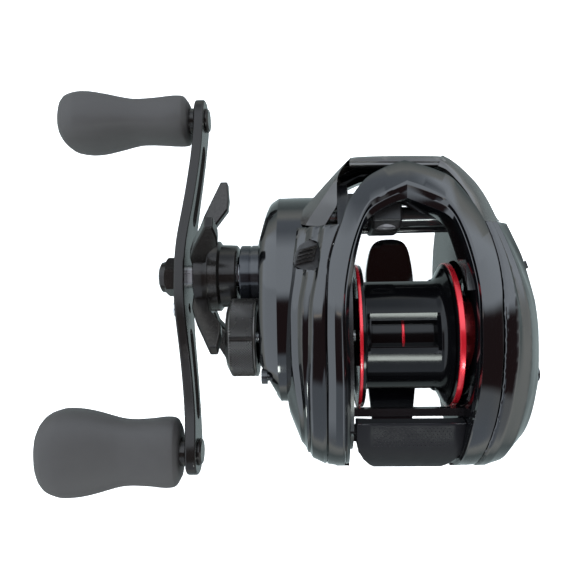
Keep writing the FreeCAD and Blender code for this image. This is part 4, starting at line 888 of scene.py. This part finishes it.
for s, nm, e0 in ((-1, "gear_side", 10.3), (1, "palm_side", 9.8)):
    ringm = turned("spool_rim_" + nm, [(s * (e0 + 0.08), 16.3), (s * e0, 16.7), (s * (e0 + 0.1), 16.95), (s * (e0 + 0.25), 17.0), (s * 10.95, 17.0), (s * 11.1, 16.86), (s * 11.12, 16.5), (s * 10.9, 16.2)],
                   "red_anodised", "spool", S_Y, S_Z, n=160, bevel=0.06)
    if s == 1:
        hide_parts("spool_rim_rings")

# --------------------------------------------------------------- thumb bar
TBP = [(-17.9, 31.7), (-17.9, 32.6), (-18.55, 34.95), (-18.8, 35.15), (-21.2, 34.45), (-23.7, 33.5), (-25.6, 32.1), (-27.4, 30.3), (-29.0, 28.1), (-29.9, 26.4),
       (-30.1, 24.7), (-28.8, 24.5), (-26.4, 27.0), (-22.4, 29.4), (-19.8, 31.4)]


def tb_half(y):
    """Half width of the bar's outline at a given y."""
    return lerp_at([(-31.0, 6.0), (-30.1, 7.4), (-29.2, 8.6), (-28.0, 9.8), (-26.5, 10.9), (-24.6, 11.6), (-22.0, 11.85), (-17.0, 11.85)], y)


rows = []
nx = 61
for k in range(nx):
    u = -1 + 2 * k / (nx - 1)
    r = []
    for y, z in TBP:
        hw = tb_half(y)
        x = u * hw
        flat = 9.1
        sag = 0.0
        if abs(x) > flat and z > 30:
            sag = 0.33 * (abs(x) - flat)
        r.append((x, y, z - sag))
    rows.append(r)
tbar = loft_pts("thumb_bar_shell", rows, "thumb", "thumb_bar", (), bevel=0.22, bang=20)
dv, df = [], []
for rr in range(7):
    for cc in range(20):
        x = -8.0 + cc * 0.84 + (0.42 if rr % 2 else 0.0)
        if abs(x) > 8.6:
            continue
        y = -19.5 - rr * 0.66
        z = lerp_at([(-23.7, 33.5), (-21.2, 34.45), (-18.8, 35.15)], y)
        nrm = Vector((0, -0.34, 0.94))
        b = len(dv)
        for q in range(8):
            a = q * math.pi / 4
            dv.append(tuple(Vector((x, y, z)) + Vector((0.2 * math.cos(a), 0.19 * math.sin(a), -0.07 * math.sin(a))) - nrm * 0.05))
        for q in range(8):
            a = q * math.pi / 4
            dv.append(tuple(Vector((x, y, z)) + Vector((0.11 * math.cos(a), 0.105 * math.sin(a), -0.038 * math.sin(a))) + nrm * 0.1))
        for q in range(8):
            df.append((b + q, b + (q + 1) % 8, b + 8 + (q + 1) % 8, b + 8 + q))
        df.append(tuple(b + 8 + q for q in range(8)))
        df.append(tuple(b + 7 - q for q in range(8)))
dots = put("thumb_bar_grip_dots", dv, df, "thumb", "thumb_bar", (), angle=50)
lip_v, lip_f = rings([[(x, -17.95, 31.9), (x, -17.85, 32.5), (x, -18.45, 34.75), (x, -18.6, 34.9), (x, -18.65, 34.0), (x, -18.3, 32.0)] for x in [-11.6 + 23.2 * k / 24 for k in range(25)]])
tlip = put("thumb_bar_gloss_edge", lip_v, lip_f, "gloss_black", "thumb_bar", (), bevel=0.1, bang=20)
hook_v, hook_f = rings([[(-16.2, -21.3, 30.0), (-16.2, -19.3, 30.0), (-16.2, -19.3, 31.7), (-16.2, -21.3, 31.7)], [(-11.4, -21.3, 30.0), (-11.4, -19.3, 30.0), (-11.4, -19.3, 31.7), (-11.4, -21.3, 31.7)]])
hook = put("thumb_bar_tail", hook_v, hook_f, "thumb", "thumb_bar", (), bevel=0.15)
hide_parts("thumb_bar")

# ------------------------------------------------------------------- knobs
KNOB = [(-53.2, 5.6, 4.0), (-53.35, 6.4, 4.7), (-54.2, 7.9, 5.8), (-55.6, 8.4, 5.95), (-57.5, 8.5, 5.9), (-60.0, 8.3, 5.7), (-62.5, 8.2, 5.5), (-65.0, 8.2, 5.35), (-67.5, 8.5, 5.3), (-70.0, 9.15, 5.6),
        (-73.0, 10.0, 6.2), (-76.0, 10.65, 6.8), (-78.0, 10.9, 7.2), (-80.0, 10.95, 7.45), (-82.0, 10.8, 7.5), (-84.0, 10.1, 7.3), (-85.4, 9.3, 7.0), (-86.6, 8.0, 6.2), (-87.4, 6.5, 5.2), (-88.0, 4.6, 3.8), (-88.2, 2.6, 2.2)]


def knob_mesh(name, tilt, y0, z0, body, node, bears):
    rows = []
    n = 96
    xs = [KNOB[0][0] - (KNOB[0][0] - KNOB[-1][0]) * (k / 70.0) for k in range(71)]
    tab = sorted([(x, a, b) for x, a, b in KNOB])
    c, s = math.cos(math.radians(tilt)), math.sin(math.radians(tilt))
    marks = sorted(set([round(x, 3) for x in xs] + [k[0] for k in KNOB]), reverse=True)
    for x in marks:
        a, b = soft_at(tab, x, 1), soft_at(tab, x, 2)
        r = []
        t_along = min(1.0, max(0.0, (-55.5 - x) / 26.0))
        groove = math.sin(math.pi * min(1.0, max(0.0, (-55.2 - x) / 29.5))) ** 0.7 if -84.7 < x < -55.2 else 0.0
        for k in range(n):
            t = 2 * math.pi * k / n
            cs, sn = math.cos(t), math.sin(t)
            e = 2 / 2.45
            u = a * math.copysign(abs(cs) ** e, cs)
            w = b * math.copysign(abs(sn) ** e, sn)
            # shallow scallop along both broad edges
            q = abs(cs) ** 6
            u *= 1 - 0.055 * groove * q
            r.append((x, y0 + u * c - w * s, z0 + u * s + w * c))
        rows.append(r)
    v, f = rings(rows)
    return put(name, v, f, "knob", body, (node,), bevel=0.25, bang=32, angle=40)


R_H = 43.3
CT, ST = math.cos(math.radians(10)), math.sin(math.radians(10))
D_Y, D_Z = 15.2, 13.95
KF = (D_Y + R_H * CT, D_Z - R_H * ST)
KR = (D_Y - R_H * CT, D_Z + R_H * ST)
kf = knob_mesh("knob_front_grip", 84.0, KF[0], KF[1], "front_knob", "knob_front", None)
kr = knob_mesh("knob_rear_grip", 4.0, KR[0], KR[1], "rear_knob", "knob_rear", None)

# ---------------------------------------------------------- knurled cap
cap_rows = []
n_k, R_C = 376, 9.4
xk = [-39.75 + 4.9 * k / 31 for k in range(32)]
for i in range(n_k):
    a = 2 * math.pi * i / n_k
    r = [(-41.2, 0.02), (-41.2, 7.5), (-41.05, 7.75), (-40.25, R_C - 0.12), (-40.0, R_C - 0.05)]
    for k, x in enumerate(xk):
        p, q = (i + k) % 4, (i - k) % 4
        h = 0.5 * (abs(p - 2) + abs(q - 2)) / 2.0
        if i in (0, 1, n_k - 1):
            h = 1.0
        elif i in (2, 3, n_k - 2, n_k - 3):
            h = 0.0
        r.append((x, R_C - 0.32 + 0.32 * h))
    r += [(-34.75, R_C - 0.3), (-34.6, R_C - 0.02), (-34.3, R_C), (-34.12, R_C - 0.2), (-34.1, 6.5)]
    cap_rows.append([(x, S_Y + rr * math.sin(a), S_Z + rr * math.cos(a)) for x, rr in r])
m = len(cap_rows[0])
verts = [p for r in cap_rows for p in r]
faces = []
for i in range(n_k):
    j = (i + 1) % n_k
    for c in range(m - 1):
        faces.append((i * m + c, i * m + c + 1, j * m + c + 1, j * m + c))
ccap = put("cast_cap_knurled", verts, faces, "knurl", "cast_cap", ("cast_control_cap",), angle=24)

# ---------------------------------------------------------------- stage
fme = bpy.data.meshes.new("floor")
fz = -0.0112
fme.from_pydata([(-3, -3, fz), (3, -3, fz), (3, 3, fz), (-3, 3, fz)], [], [(0, 1, 2, 3)])
floor = bpy.data.objects.new("floor", fme)
COL.objects.link(floor)
fm, fnt, fb = principled("floor_white")
fb.inputs["Base Color"].default_value = (0.9, 0.9, 0.9, 1)
fb.inputs["Roughness"].default_value = 0.9
fb.inputs["Emission Color"].default_value = (1, 1, 1, 1)
fb.inputs["Emission Strength"].default_value = 0.5
floor.data.materials.append(fm)
floor.visible_glossy = False
